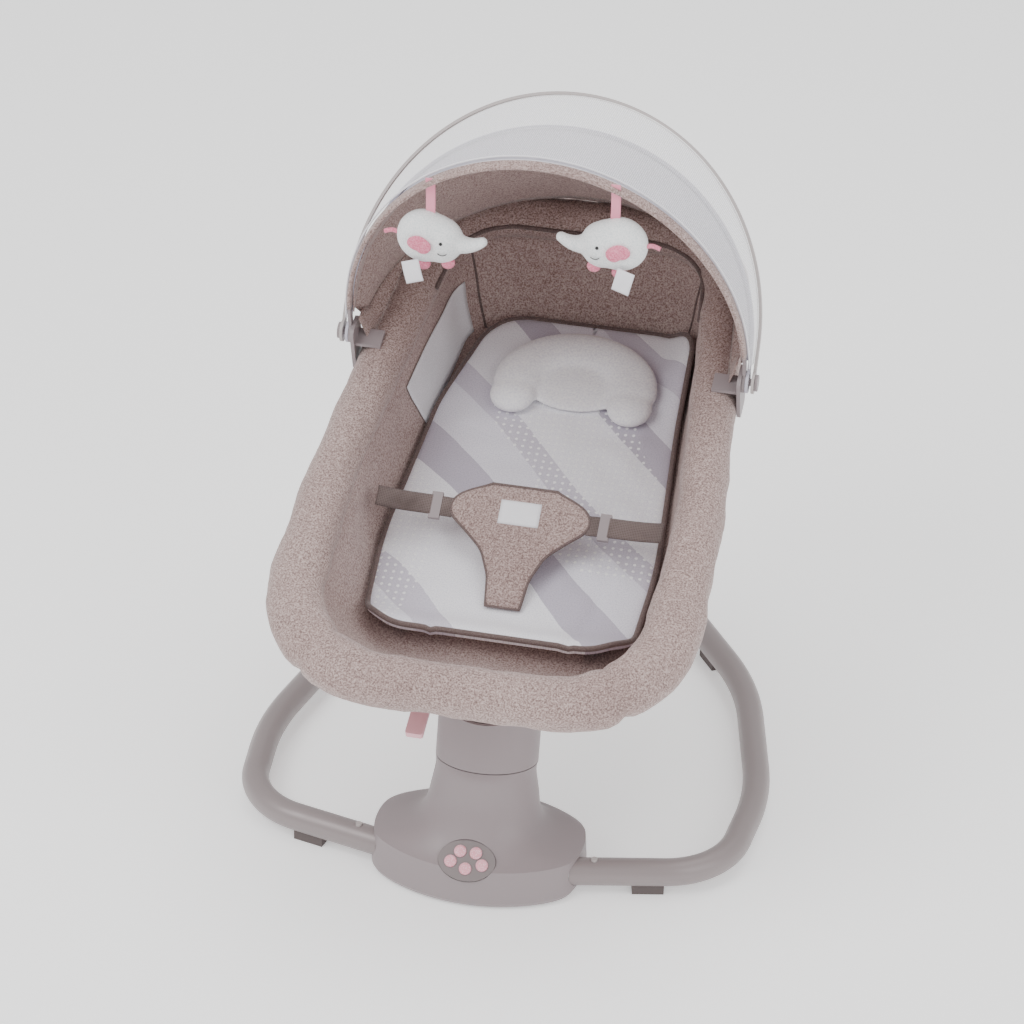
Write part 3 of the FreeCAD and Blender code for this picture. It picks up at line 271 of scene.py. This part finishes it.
def sloped(across, back, up):
    """A step in the sloping seat's own directions, from millimetres to metres."""
    return MM * Vector((across, back * math.cos(SLOPE) - up * math.sin(SLOPE),
                        back * math.sin(SLOPE) + up * math.cos(SLOPE)))


def seat_point(across, back, up):
    """A point in the sloping seat, measured in millimetres from the recline pin."""
    return PIVOT + sloped(across, back, up)


def keep(name, mesh, material, body, stands_for=()):
    """Makes a bmesh into a piece that rides on a body."""
    data = bpy.data.meshes.new(name)
    mesh.to_mesh(data)
    mesh.free()
    piece = bpy.data.objects.new(name, data)
    bpy.context.scene.collection.objects.link(piece)
    for finish_used in material if isinstance(material, (list, tuple)) else [material]:
        data.materials.append(finish_used)
    for face in data.polygons:
        face.use_smooth = True
    if stands_for:
        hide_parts(*stands_for)
    if body:
        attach(piece, body)
    return piece


def cut_sheet(columns, rows, place, wide, tall):
    """A grid of cloth, each corner put where place(column share, row share) says."""
    mesh = bmesh.new()
    chart = mesh.loops.layers.uv.new("cut")
    bmesh.ops.create_grid(mesh, x_segments=columns, y_segments=rows, size=0.5)
    for face in mesh.faces:
        for corner in face.loops:
            spot = corner.vert.co
            corner[chart].uv = ((spot.x + 0.5) * wide, (spot.y + 0.5) * tall)
    for vert in mesh.verts:
        vert.co = place(vert.co.x + 0.5, vert.co.y + 0.5)
    bmesh.ops.remove_doubles(mesh, verts=mesh.verts, dist=1e-6)
    return mesh


def even_steps(path, count, closed=True):
    """Points at equal steps along a chain of points."""
    chain = path + [path[0]] if closed else path
    lengths = [0.0]
    for first, second in zip(chain, chain[1:]):
        lengths.append(lengths[-1] + (second - first).length)
    steps = []
    at = 0
    for index in range(count):
        goal = lengths[-1] * index / (count if closed else count - 1)
        while at < len(chain) - 2 and lengths[at + 1] < goal:
            at += 1
        span = max(lengths[at + 1] - lengths[at], 1e-9)
        steps.append(chain[at].lerp(chain[at + 1], min(1, (goal - lengths[at]) / span)))
    return steps


def rounded_outline(corners, radii, count):
    """A closed outline with rounded corners, from the middle of its foot edge round."""
    path = []
    for index, corner in enumerate(corners):
        corner = Vector(corner)
        before = (Vector(corners[index - 1]) - corner).normalized()
        after = (Vector(corners[(index + 1) % len(corners)]) - corner).normalized()
        half = before.angle(after) / 2
        centre = corner + (before + after).normalized() * radii[index] / math.sin(half)
        first = corner + before * radii[index] / math.tan(half) - centre
        last = corner + after * radii[index] / math.tan(half) - centre
        path += [centre + first.lerp(last, k / 16).normalized() * radii[index] for k in range(17)]
    middle = (Vector(corners[0]) + Vector(corners[1])) / 2
    return even_steps([middle] + path[17:] + path[:17], count)


def normals_of(outline):
    """Which way is outwards at each point of an outline that runs anticlockwise."""
    total = len(outline)
    return [Vector((outline[(k + 1) % total].y - outline[k - 1].y,
                    outline[k - 1].x - outline[(k + 1) % total].x)).normalized() for k in range(total)]


def ease(value, low, high):
    """0 below low, 1 above high and smooth between."""
    share = min(1.0, max(0.0, (value - low) / (high - low)))
    return share * share * (3 - 2 * share)


def ripple(point, size, depth):
    """Soft unevenness of stuffed cloth, in millimetres."""
    return depth * noise.noise(point / size)


def corded_edge(name, points, radius, material, body, closed=True):
    """A round cord sewn along an edge."""
    line = bpy.data.curves.new(name + "_line", "CURVE")
    line.dimensions = "3D"
    line.bevel_depth = radius * MM
    line.bevel_resolution = 3
    run = line.splines.new("POLY")
    run.points.add(len(points) - 1)
    for knot, point in zip(run.points, points):
        knot.co = (*point, 1)
    run.use_cyclic_u = closed
    line.use_fill_caps = True
    holder = bpy.data.objects.new(name + "_line", line)
    bpy.context.scene.collection.objects.link(holder)
    mesh = bmesh.new()
    mesh.from_mesh(bpy.data.meshes.new_from_object(holder))
    bmesh.ops.remove_doubles(mesh, verts=mesh.verts, dist=1e-6)
    bmesh.ops.recalc_face_normals(mesh, faces=mesh.faces)
    bpy.data.objects.remove(holder)
    return keep(name, mesh, material, body)


def thicken(piece, thickness, offset=-1, inner_finish=0):
    """Gives a single sheet its real thickness, in millimetres."""
    shell = piece.modifiers.new("cloth_thickness", "SOLIDIFY")
    shell.thickness = thickness * MM
    shell.offset = offset
    shell.material_offset = inner_finish
    return piece


# ---------------------------------------------------------------- hard parts from the frame
finishes = {
    ABS_GREY: ["front_bow", "strap_sliders", "canopy_bracket_left", "canopy_bracket_right",
               "base_housing", "base_bottom_cover", "battery_door", "neck_shell", "recline_fork",
               "seat_hub"],
    COTTON: ["mid_bow"],
    ABS_LIGHT: ["snap_button_left", "snap_button_right", "net_bow"],
    GLOSS_PANEL: ["control_panel"],
    PINK_LEVER: ["release_lever"],
    KEYS: ["power_button", "timer_button", "music_button", "speed_button", "volume_button"],
    BLACK_ABS: ["speaker", "power_socket", "rear_joiner", "bearing_housing", "magnet_arm",
                "frame_connectors"],
    RUBBER: ["rubber_feet"],
    CIRCUIT: ["control_board"],
    TUBE: ["loop_tube_left", "loop_tube_right", "support_bar_front", "support_bar_rear"],
    STEEL: ["spigot_left", "spigot_right", "battery_cells", "bottom_screws", "swing_shaft", "lower_bearing",
            "upper_bearing", "recline_pin", "seat_frame_foot", "seat_frame_head"],
    MAGNET: ["drive_magnet"],
    COPPER: ["drive_coil"],
    PLYWOOD: ["seat_board"],
}
for used, labels in finishes.items():
    for label in labels:
        node = frame["nodes"][label]
        node.data.materials.clear()
        node.data.materials.append(used)

# ---------------------------------------------------------------- padded rim and seat shell
AROUND = 240
RIM_UP, RIM_RADIUS = 158, 25
FLOOR_UP, UNDERSIDE_UP, WALL_TOP_UP = 46, 40, 140
MIDDLE_BACK = 250
RIM_CORNERS = [(-190, -115), (190, -115), (198, 150), (160, 558), (-160, 558), (-198, 150)]
FLOOR_CORNERS = [(-144, 12), (144, 12), (152, 150), (125, 494), (-125, 494), (-152, 150)]
rim_line = rounded_outline(RIM_CORNERS, [120, 120, 500, 95, 95, 500], AROUND)
rim_out = normals_of(rim_line)
floor_line = rounded_outline(FLOOR_CORNERS, [55, 55, 500, 50, 50, 500], AROUND)
floor_out = normals_of(floor_line)


def loft(rings, frame_point=seat_point):
    """Closed cloth through rings of points, each given as across, back and up in millimetres."""
    count = len(rings[0])
    mesh = bmesh.new()
    chart = mesh.loops.layers.uv.new("cut")
    bmesh.ops.create_grid(mesh, x_segments=count, y_segments=len(rings) - 1, size=0.5)
    for vert in mesh.verts:
        ring = rings[round((vert.co.y + 0.5) * (len(rings) - 1))]
        vert.co = ring[round((vert.co.x + 0.5) * count) % count]
    for face in mesh.faces:
        for corner in face.loops:
            corner[chart].uv = (corner.vert.co.x * MM, corner.vert.co.y * MM)
    for vert in mesh.verts:
        vert.co = frame_point(*vert.co)
    bmesh.ops.remove_doubles(mesh, verts=mesh.verts, dist=2e-6)
    bmesh.ops.recalc_face_normals(mesh, faces=mesh.faces)
    return mesh


def ring_at(line, out, inset, up):
    """An outline moved inwards by inset, at one height."""
    return [Vector((p.x - n.x * inset, p.y - n.y * inset, up)) for p, n in zip(line, out)]


rim_rings = []
for step in range(41):
    angle = 2 * math.pi * step / 40
    ring = []
    for spot, way in zip(rim_line, rim_out):
        low = 1 - ease(spot.y, -60, 200)
        bulge = 11 * low * ease(abs(spot.x), 60, 160)
        side = RIM_RADIUS + bulge if math.cos(angle) > 0 else RIM_RADIUS
        drop = RIM_RADIUS if math.sin(angle) > 0 else RIM_RADIUS + 10 * low
        stuffed = ripple(Vector((spot.x, spot.y, 40 * math.sin(angle))), 34, 2.0)
        stuffed += ripple(Vector((spot.x, spot.y, 25 * angle)), 11, 0.7)
        crease = math.exp(-((abs(spot.x) - 150) / 5) ** 2) * (1 if spot.y < 0 else 0)
        reach = 1 + (stuffed - 3.2 * crease) / 25
        ring.append(Vector((spot.x + way.x * side * math.cos(angle) * reach,
                            spot.y + way.y * side * math.cos(angle) * reach,
                            RIM_UP + drop * math.sin(angle) * reach)))
    rim_rings.append(ring)
rim_rings[-1] = rim_rings[0]
rim = keep("rim_bolster_stuffed", loft(rim_rings), HEATHER, "seat", ["rim_bolster"])


def wall_ring(share, inside):
    """One level of the seat's wall; share 0 is the floor and 1 the rim."""
    inset = 15 if inside else 7
    out_of_floor = 0 if inside else 6
    base_up = FLOOR_UP if inside else UNDERSIDE_UP
    up = base_up + share * (WALL_TOP_UP - base_up)
    full = share ** (0.75 if inside else 0.62)
    ring = []
    for a, an, b, bn in zip(floor_line, floor_out, rim_line, rim_out):
        low = Vector((a.x + an.x * out_of_floor, a.y + an.y * out_of_floor))
        high = Vector((b.x - bn.x * inset, b.y - bn.y * inset))
        spot = low.lerp(high, full)
        soft = ripple(Vector((spot.x, spot.y, up)), 45, 3.0) * math.sin(math.pi * share)
        ring.append(Vector((spot.x + bn.x * soft, spot.y + bn.y * soft, up)))
    return ring


shell_rings = [[Vector((0, MIDDLE_BACK, FLOOR_UP))] * AROUND,
               ring_at(floor_line, floor_out, 60, FLOOR_UP)]
shell_rings += [wall_ring(k / 9, True) for k in range(10)]
shell_rings += [wall_ring(1 - k / 11, False) for k in range(12)]
shell_rings += [ring_at(floor_line, floor_out, 60, UNDERSIDE_UP),
                [Vector((0, MIDDLE_BACK, UNDERSIDE_UP))] * AROUND]
# the seat shell wears the lining heather, painted lighter than the outer heather to make up for the shade
# inside the seat
shell = keep("seat_shell_cloth", loft(shell_rings), LINING_BRIGHTENED, "seat", ["seat_cover"])
welt = ring_at(rim_line, rim_out, -16, 139)
corded_edge("rim_welt_outer", [seat_point(*p) for p in welt], 2.2, PIPING, "seat")
head_welt = [seat_point(p.x, p.y, 164) for p in ring_at(rim_line, rim_out, 25, 0) if p.y > 420]
start = max(range(len(head_welt)), key=lambda k: (head_welt[k] - head_welt[k - 1]).length)
corded_edge("rim_welt_head", head_welt[start:] + head_welt[:start], 2.6, PIPING, "seat", False)

# ---------------------------------------------------------------- printed seat pad
pad_edge = ring_at(floor_line, floor_out, 1, 0)


def pad_spot(share, up, flat=False):
    """One ring of the pad, at a share of the way from its middle to its edge."""
    ring = []
    for spot in pad_edge:
        x, y = spot.x * share, MIDDLE_BACK + (spot.y - MIDDLE_BACK) * share
        high = ease(y, 330, 480)
        x += (8 if x > 0 else 20) * high * share
        curl = 30 * high * ease(x, 96, 134) if not flat else 0
        foot = 26 * (1 - ease(y, 20, 62))
        quilt = ripple(Vector((x, y, 0)), 26, 2.6) * (0 if flat else 1 - share ** 6)
        seam = 3.5 * math.exp(-((x + 60 + 0.35 * y) / 4) ** 2)
        seam += 3.5 * math.exp(-((x - 78 - 0.2 * y) / 4) ** 2)
        seam *= 0 if flat else 1 - ease(y, 80, 150)
        ring.append(Vector((x, y, up + curl + foot * share ** 3 + quilt - seam)))
    return ring


pad_rings = [pad_spot(0, 47.5, True), pad_spot(0.6, 47.5, True), pad_spot(0.97, 48), pad_spot(1.0, 52),
             pad_spot(1.0, 57), pad_spot(0.985, 61)]
pad_rings += [pad_spot(k / 24, 62 + 3.5 * (1 - (k / 24) ** 8)) for k in range(23, -1, -1)]
pad = keep("seat_pad_printed", loft(pad_rings), PAD_PRINT, "seat", ["seat_pad"])
corded_edge("seat_pad_piping", [seat_point(*p) for p in pad_spot(0.995, 60)], 3.1, PIPING, "seat")


def soft_form(name, balls, fineness, material, body, nodes=(), put=lambda p: p, rounds=4):
    """One soft form grown from overlapping balls: centre, radii and all in millimetres."""
    mesh = bmesh.new()
    for centre, radii in balls:
        grown = bmesh.ops.create_icosphere(mesh, subdivisions=3, radius=1.0)["verts"]
        for vert in grown:
            vert.co = Vector((centre[k] + vert.co[k] * radii[k] for k in range(3)))
    piece = keep(name, mesh, material, None)
    joined = piece.modifiers.new("joined", "REMESH")
    joined.mode = "VOXEL"
    joined.voxel_size = fineness
    shape = bpy.data.meshes.new_from_object(piece.evaluated_get(bpy.context.evaluated_depsgraph_get()))
    bpy.data.objects.remove(piece)
    whole = bmesh.new()
    whole.from_mesh(shape)
    for _ in range(rounds):
        bmesh.ops.smooth_vert(whole, verts=whole.verts, factor=0.6, use_axis_x=True, use_axis_y=True,
                              use_axis_z=True)
    for vert in whole.verts:
        vert.co = put(vert.co)
    return keep(name, whole, material, body, nodes)


pillow_balls = []
for k in range(25):
    turn = math.pi * (k / 24)
    pillow_balls.append(((14 + 66 * math.cos(turn), 384 + 54 * math.sin(turn), 76), (27, 25, 12)))
for x in (-52, 80):
    pillow_balls.append(((x, 362, 76), (26, 26, 12)))
pillow_balls.append(((14, 400, 71), (66, 50, 7)))
pillow = soft_form("head_pillow_stuffed", pillow_balls, 2.4, JERSEY, "seat", ["head_pillow"],
                   lambda p: seat_point(*p), 6)

# ---------------------------------------------------------------- harness
TILT = math.radians(20)


def harness_point(across, back, up):
    """A point on the harness, which lies tilted up from the pad, in millimetres."""
    return seat_point(across, 68 + back * math.cos(TILT) - up * math.sin(TILT),
                      65.3 + back * math.sin(TILT) + up * math.cos(TILT))


CROTCH = [(0, 18), (34, 22), (62, 34), (82, 56), (96, 74), (112, 76), (126, 62), (137, 30)]


def crotch_half(back):
    """Half the crotch pad's width at a distance from its foot end."""
    for (a, wide), (b, wider) in zip(CROTCH, CROTCH[1:]):
        if a <= back <= b:
            return wide + (wider - wide) * (back - a) / (b - a)
    return CROTCH[-1][1]


crotch_rings = []
for k in range(57):
    back = 137 * k / 56
    end = math.sqrt(max(0.0, 1 - max(0.0, (back - 112) / 25) ** 2)) if back > 112 else 1
    end = min(end, 0.35 + 0.65 * ease(back, 0, 8))
    half = sum(crotch_half(min(137, max(0, back + d))) for d in (-6, -3, 0, 3, 6)) / 5
    ring = []
    for j in range(40):
        angle = 2 * math.pi * j / 40
        bulk = 4.4 * end * abs(math.sin(angle)) ** 0.6 * math.copysign(1, math.sin(angle))
        ring.append(Vector((half * math.cos(angle), back, 4.4 + bulk)))
    crotch_rings.append(ring)
crotch_rings = [[Vector((0, 0, 4.4))] * 40] + crotch_rings + [[Vector((0, 137, 4.4))] * 40]
crotch = keep("crotch_pad_stuffed", loft(crotch_rings, harness_point), HEATHER, "seat", ["crotch_pad"])
sides = [[harness_point(side * r[0].x, r[0].y, 4.4) for r in crotch_rings[1:-1]] for side in (1, -1)]
corded_edge("crotch_pad_piping", sides[0] + sides[1][::-1], 1.9, PIPING, "seat")
tag = cut_sheet(10, 8, lambda u, v: harness_point((u - 0.5) * 44, 92 + 27 * v, 9.3), 0.044, 0.027)
label_piece = keep("harness_label_blank", tag, TAPE, "seat")
thicken(label_piece, 0.8)
for side, word in ((-1, "left"), (1, "right")):
    def strap_place(u, v, side=side):
        return harness_point(side * (73 + 83 * u), 93 + 22 * v, 4.2 + 9 * u * u + 1.2 * math.sin(6 * u))
    strap = keep(f"waist_strap_{word}_webbing", cut_sheet(30, 6, strap_place, 0.084, 0.022), WEBBING, "seat",
                 [f"waist_strap_{word}"])
    thicken(strap, 1.8, 0)


# ---------------------------------------------------------------- side window
def window_place(u, v):
    """A place on the mesh window, just inside the left wall."""
    along = 167 - 25 * u
    ring = wall_ring(0.03 + v * (0.70 - 0.09 * u), True)
    spot = ring[int(along)].lerp(ring[int(along) + 1], along - int(along))
    return seat_point(spot.x + 1.6, spot.y, spot.z + 0.8)


window = keep("side_window_mesh", cut_sheet(24, 10, window_place, 0.18, 0.075), WINDOW, "seat")
thicken(window, 0.6, 1)
for station in (100, 139):
    seam = [seat_point(*(wall_ring(k / 12, True)[station])) for k in range(13)]
    corded_edge(f"head_wall_seam_{station}", seam, 1.5, PIPING, "seat", False)


# ---------------------------------------------------------------- hood, bands and net
ACROSS, DEEP = 72, 18


def hinge_point(across, high, lean):
    """A point on a bow's plane: lean is the plane's angle in degrees from the seat's own up."""
    back, up = high * math.sin(math.radians(lean)), high * math.cos(math.radians(lean))
    return HINGE + sloped(across, back, up)


def arch(half, leg, rise, begin, count=ACROSS):
    """Even steps over a bow: straight legs up from begin, then half an ellipse."""
    path = [Vector((half, min(begin, leg)))]
    path += [Vector((half * math.cos(math.pi * k / 96), leg + rise * math.sin(math.pi * k / 96)))
             for k in range(97)]
    path += [Vector((-half, min(begin, leg)))]
    return even_steps([p for p in path if p.y >= begin - 1e-6], count + 1, False)


def hood_sheet(first, last, first_lean, last_lean, sag):
    """Where a sheet stretched from one arch to the next lies; sag pulls its middle in."""
    def place(u, v):
        a, b = first[round(u * ACROSS)], last[round(u * ACROSS)]
        low = hinge_point(a.x, a.y, first_lean)
        high = hinge_point(b.x, b.y, last_lean)
        inward = (HINGE + Vector((0, 0.02, 0.05)) - low).normalized()
        pull = sag * math.sin(math.pi * v) * math.sin(math.pi * u) ** 0.5
        wave = ripple(Vector((a.x, a.y, 60 * v)), 40, 1.1) * math.sin(math.pi * v)
        return low.lerp(high, v) + inward * MM * (pull + wave)
    return place


# each bow's half-width, leg and rise, in millimetres
FRONT_HALF, FRONT_LEG, FRONT_RISE = 215.54, 22, 253
MID_HALF, MID_LEG, MID_RISE = 218.94, 30, 216
NET_HALF, NET_LEG, NET_RISE = 225.34, 40, 243
HEM = (206.54, 30, 220)
FRONT_LEAN = 1.8
HINGE_BACK, HINGE_UP = 318, 193
front_inner = arch(FRONT_HALF - 4.9, FRONT_LEG, FRONT_RISE - 4.9, 23)
mid_inner = arch(MID_HALF - 3.55, MID_LEG, MID_RISE - 3.55, 23)
front_place = hood_sheet(front_inner, mid_inner, 3.2, 41.5, 4)
# the front hood cloth is lining heather inside, painted lighter to make up for the shade under the hood, and
# cotton outside
front_cloth = keep("hood_cloth_front", cut_sheet(ACROSS, DEEP, front_place, 0.62, 0.17),
                   [LINING_BRIGHTENED, COTTON], None, ["hood_front_panel"])
hinge_point(0, 240, 40)
hinge_point(0, 270, 4)
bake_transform(front_cloth)
thicken(front_cloth, 1.6, -1, 1)
mid_rear = arch(MID_HALF - 3.55, MID_LEG, MID_RISE - 3.55, 27)
rear_hem = arch(*HEM, 27)
rear_place = hood_sheet(mid_rear, rear_hem, 42.1, 91.8, 5)
# the rear hood cloth is lining heather, painted lighter to make up for the shade under the hood
rear_cloth = keep("hood_cloth_rear", cut_sheet(ACROSS, DEEP, rear_place, 0.62, 0.19),
                  LINING_BRIGHTENED, None, ["hood_rear_panel"])
hinge_point(0, 245, 91)
hinge_point(0, 245, 43)
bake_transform(rear_cloth)
thicken(rear_cloth, 1.6)
net_first = arch(FRONT_HALF + 4.1, FRONT_LEG, FRONT_RISE + 4.1, 20)
net_last = arch(NET_HALF - 2.4, NET_LEG, NET_RISE - 2.4, 20)
net_place = hood_sheet(net_first, net_last, 3.4, 48.2, -1)
net_cloth = keep("net_cloth", cut_sheet(ACROSS, DEEP, net_place, 0.64, 0.2), NET, None, ["net_panel"])
hinge_point(0, 270, 3)
hinge_point(0, 270, 48)
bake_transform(net_cloth)


def sleeve(name, half, leg, rise, begin, lean, wide, deep, material, body):
    """A cloth sleeve drawn over a bow, flat like the bow inside it."""
    path = arch(half, leg, rise, begin, 96)
    rings = []
    for k, spot in enumerate(path):
        ahead = path[min(k + 1, len(path) - 1)] - path[max(k - 1, 0)]
        out = Vector((ahead.y, -ahead.x)).normalized()
        ring = []
        for j in range(20):
            angle = 2 * math.pi * j / 20
            cx = math.copysign(abs(math.cos(angle)) ** 0.5, math.cos(angle)) * deep
            cy = math.copysign(abs(math.sin(angle)) ** 0.5, math.sin(angle)) * wide
            cx += ripple(Vector((spot.x, spot.y, j)), 9, 0.25)
            ring.append(Vector((spot.x + out.x * cx, spot.y + out.y * cx, cy)))
        rings.append(ring)
    flat = [[sum(ring, Vector()) / 20] * 20 for ring in (rings[0], rings[-1])]

    def put(across, high, sideways):
        spot = hinge_point(across, high, lean)
        turn = math.radians(lean)
        return spot + sloped(0, sideways * math.cos(turn), -sideways * math.sin(turn))
    return keep(name, loft([flat[0]] + rings + [flat[1]], put), material, body)


sleeve("front_band_heather", FRONT_HALF, FRONT_LEG, FRONT_RISE, 34, FRONT_LEAN, 6.2, 2.4, HEATHER,
       "hood_front")

# the valance closes the gap between the hood's hem and the rim
hem_points = [Vector((p.x, HINGE_BACK + p.y, HINGE_UP - 0.03 * p.y + 20 * (1 - ease(p.y, 14, 44))))
              for p in arch(*HEM, 2)]


def valance_place(u, v):
    """From the hood's hem down to the outer shoulder of the rim."""
    hem = hem_points[round(u * ACROSS)]
    near = min(range(AROUND), key=lambda k: (rim_line[k] - hem.xy).length)
    base, way = rim_line[near], rim_out[near]
    foot = Vector((base.x + way.x * 14, base.y + way.y * 14, RIM_UP + 21.5))
    return seat_point(*hem.lerp(foot, v))


valance = keep("hood_valance", cut_sheet(ACROSS, 4, valance_place, 0.62, 0.016), HEATHER, "seat")
thicken(valance, 1.4, 0)
tape_line = arch(FRONT_HALF - 0.5, FRONT_LEG, FRONT_RISE - 0.5, 34, 120)
tape_path = [hinge_point(p.x, p.y, 3.4) for p in tape_line]
corded_edge("front_hem_tape", tape_path, 1.5, TAPE, "hood_front", False)
edge_line = arch(FRONT_HALF + 4.6, FRONT_LEG, FRONT_RISE + 4.6, 20, 120)
edge_path = [hinge_point(p.x, p.y, 3.6) for p in edge_line]
corded_edge("net_front_hem", edge_path, 1.0, TAPE, "seat", False)

# ---------------------------------------------------------------- toys
TOY_DROP = 59
for word, face in (("left", 1), ("right", -1)):
    hang = Vector([round(along / MM, 3) for along in JOINT_AT[f"toy_swing_{word}"]])
    centre = hang - Vector((0, 0, TOY_DROP))
    body = f"toy_{word}"

    def at(x, y, z, centre=centre, face=face):
        return (centre.x + face * x, centre.y + y, centre.z + z)
    balls = [(at(0, 0, 0), (34, 18, 28)), (at(-6, 0, 1), (30, 19, 30)), (at(12, 0, -2), (24, 18, 26))]
    balls += [(at(28 + 4 * k, -1, -3 - 2.5 * math.sin(k / 8 * 3) + 0.12 * k * k), (11 - 0.75 * k,) * 3)
              for k in range(8)]
    elephant = soft_form(f"elephant_{word}_plush", balls, 1.6, PLUSH, body, [f"toy_elephant_{word}"],
                         lambda p: p * MM, 5)
    for k, spot in enumerate([(-6, -2, -31), (20, -2, -27)]):
        soft_form(f"elephant_{word}_foot_{k}", [(at(*spot), (7.5, 7, 6.5))], 1.2, PLUSH_PINK, body,
                            put=lambda p: p * MM, rounds=1)
    ear = soft_form(f"elephant_{word}_ear", [(at(-9, -19.5, 1), (12, 3, 9)), (at(-3, -20, -2), (9, 3, 9))],
                    1.1, PLUSH_PINK, body, put=lambda p: p * MM)
    tail = [Vector(at(-33 - 2.2 * k, -2, 2 + 2 * math.sin(k / 2))) * MM for k in range(8)]
    corded_edge(f"elephant_{word}_tail", tail, 2.4, PLUSH_PINK, body, False)
    eye = bmesh.new()
    bmesh.ops.create_uvsphere(eye, u_segments=20, v_segments=12, radius=1.9 * MM,
                              matrix=Matrix.Translation(Vector(at(15, -17.2, 2)) * MM))
    keep(f"elephant_{word}_eye", eye, EYE, body)
    smile = [Vector(at(12 + 1.2 * k, -18.3 + 0.012 * k * k, -9 - 1.9 * math.sin(math.pi * k / 8))) * MM
             for k in range(9)]
    corded_edge(f"elephant_{word}_smile", smile, 0.5, EYE, body, False)

    def ribbon_place(u, v, hang=hang):
        swell = 0.6 * math.sin(2 * math.pi * v)
        return MM * Vector((hang.x + (u - 0.5) * 10, hang.y - 3.6 * ease(v, 0.7, 1.0) + swell,
                            hang.z - 32 + 43 * v))
    ribbon = keep(f"ribbon_{word}_satin", cut_sheet(6, 30, ribbon_place, 0.01, 0.041), RIBBON, body,
                  [f"toy_ribbon_{word}"])
    thicken(ribbon, 1.0, 0)

    def tag_place(u, v, at=at):
        return MM * Vector(at(-20 + 18 * u - 6 * v, -19.5 - 1.2 * math.sin(math.pi * v),
                              -48 + 25 * v + 6 * u))
    card = keep(f"toy_tag_{word}_blank", cut_sheet(8, 10, tag_place, 0.019, 0.027), TAPE, body)
    thicken(card, 0.7, 0)

# ---------------------------------------------------------------- studio, light and camera
floor_mesh = bmesh.new()
bmesh.ops.create_grid(floor_mesh, x_segments=1, y_segments=1, size=8.0)
paper = finish("studio_paper_white", "fbfbfb", Roughness=0.9, Emission_Color=(1, 1, 1, 1),
               Emission_Strength=0.42)[0]
floor = keep("studio_floor", floor_mesh, paper, None)
world = bpy.data.worlds.new("studio_air")
world.use_nodes = True
world.node_tree.nodes["Background"].inputs["Color"].default_value = (1, 1, 1, 1)
world.node_tree.nodes["Background"].inputs["Strength"].default_value = 0.95
bpy.context.scene.world = world
for name, where, power, size in (("key_softbox", (-1.6, -1.6, 2.6), 46, 1.6),
                                 ("fill_softbox", (2.2, -1.4, 1.8), 20, 1.8),
                                 ("top_softbox", (0.2, 0.5, 3.0), 30, 2.2)):
    lamp = bpy.data.lights.new(name, "AREA")
    lamp.energy = power
    lamp.size = size
    light = bpy.data.objects.new(name, lamp)
    light.location = where
    light.rotation_mode = "QUATERNION"
    light.rotation_quaternion = (Vector((0, 0, 0.35)) - Vector(where)).to_track_quat("-Z", "Y")
    bpy.context.scene.collection.objects.link(light)
lens = bpy.data.cameras.new("camera")
lens.lens = 131.9
lens.sensor_width = 36
lens.clip_start, lens.clip_end = 0.1, 40
camera = bpy.data.objects.new("camera", lens)
camera.matrix_world = Matrix(((0.976570, -0.132325, 0.169707, 0.66995),
                              (0.213989, 0.513635, -0.830896, -3.36103),
                              (0.022781, 0.847744, 0.529917, 2.45858),
                              (0, 0, 0, 1)))
bpy.context.scene.collection.objects.link(camera)
bpy.context.scene.camera = camera
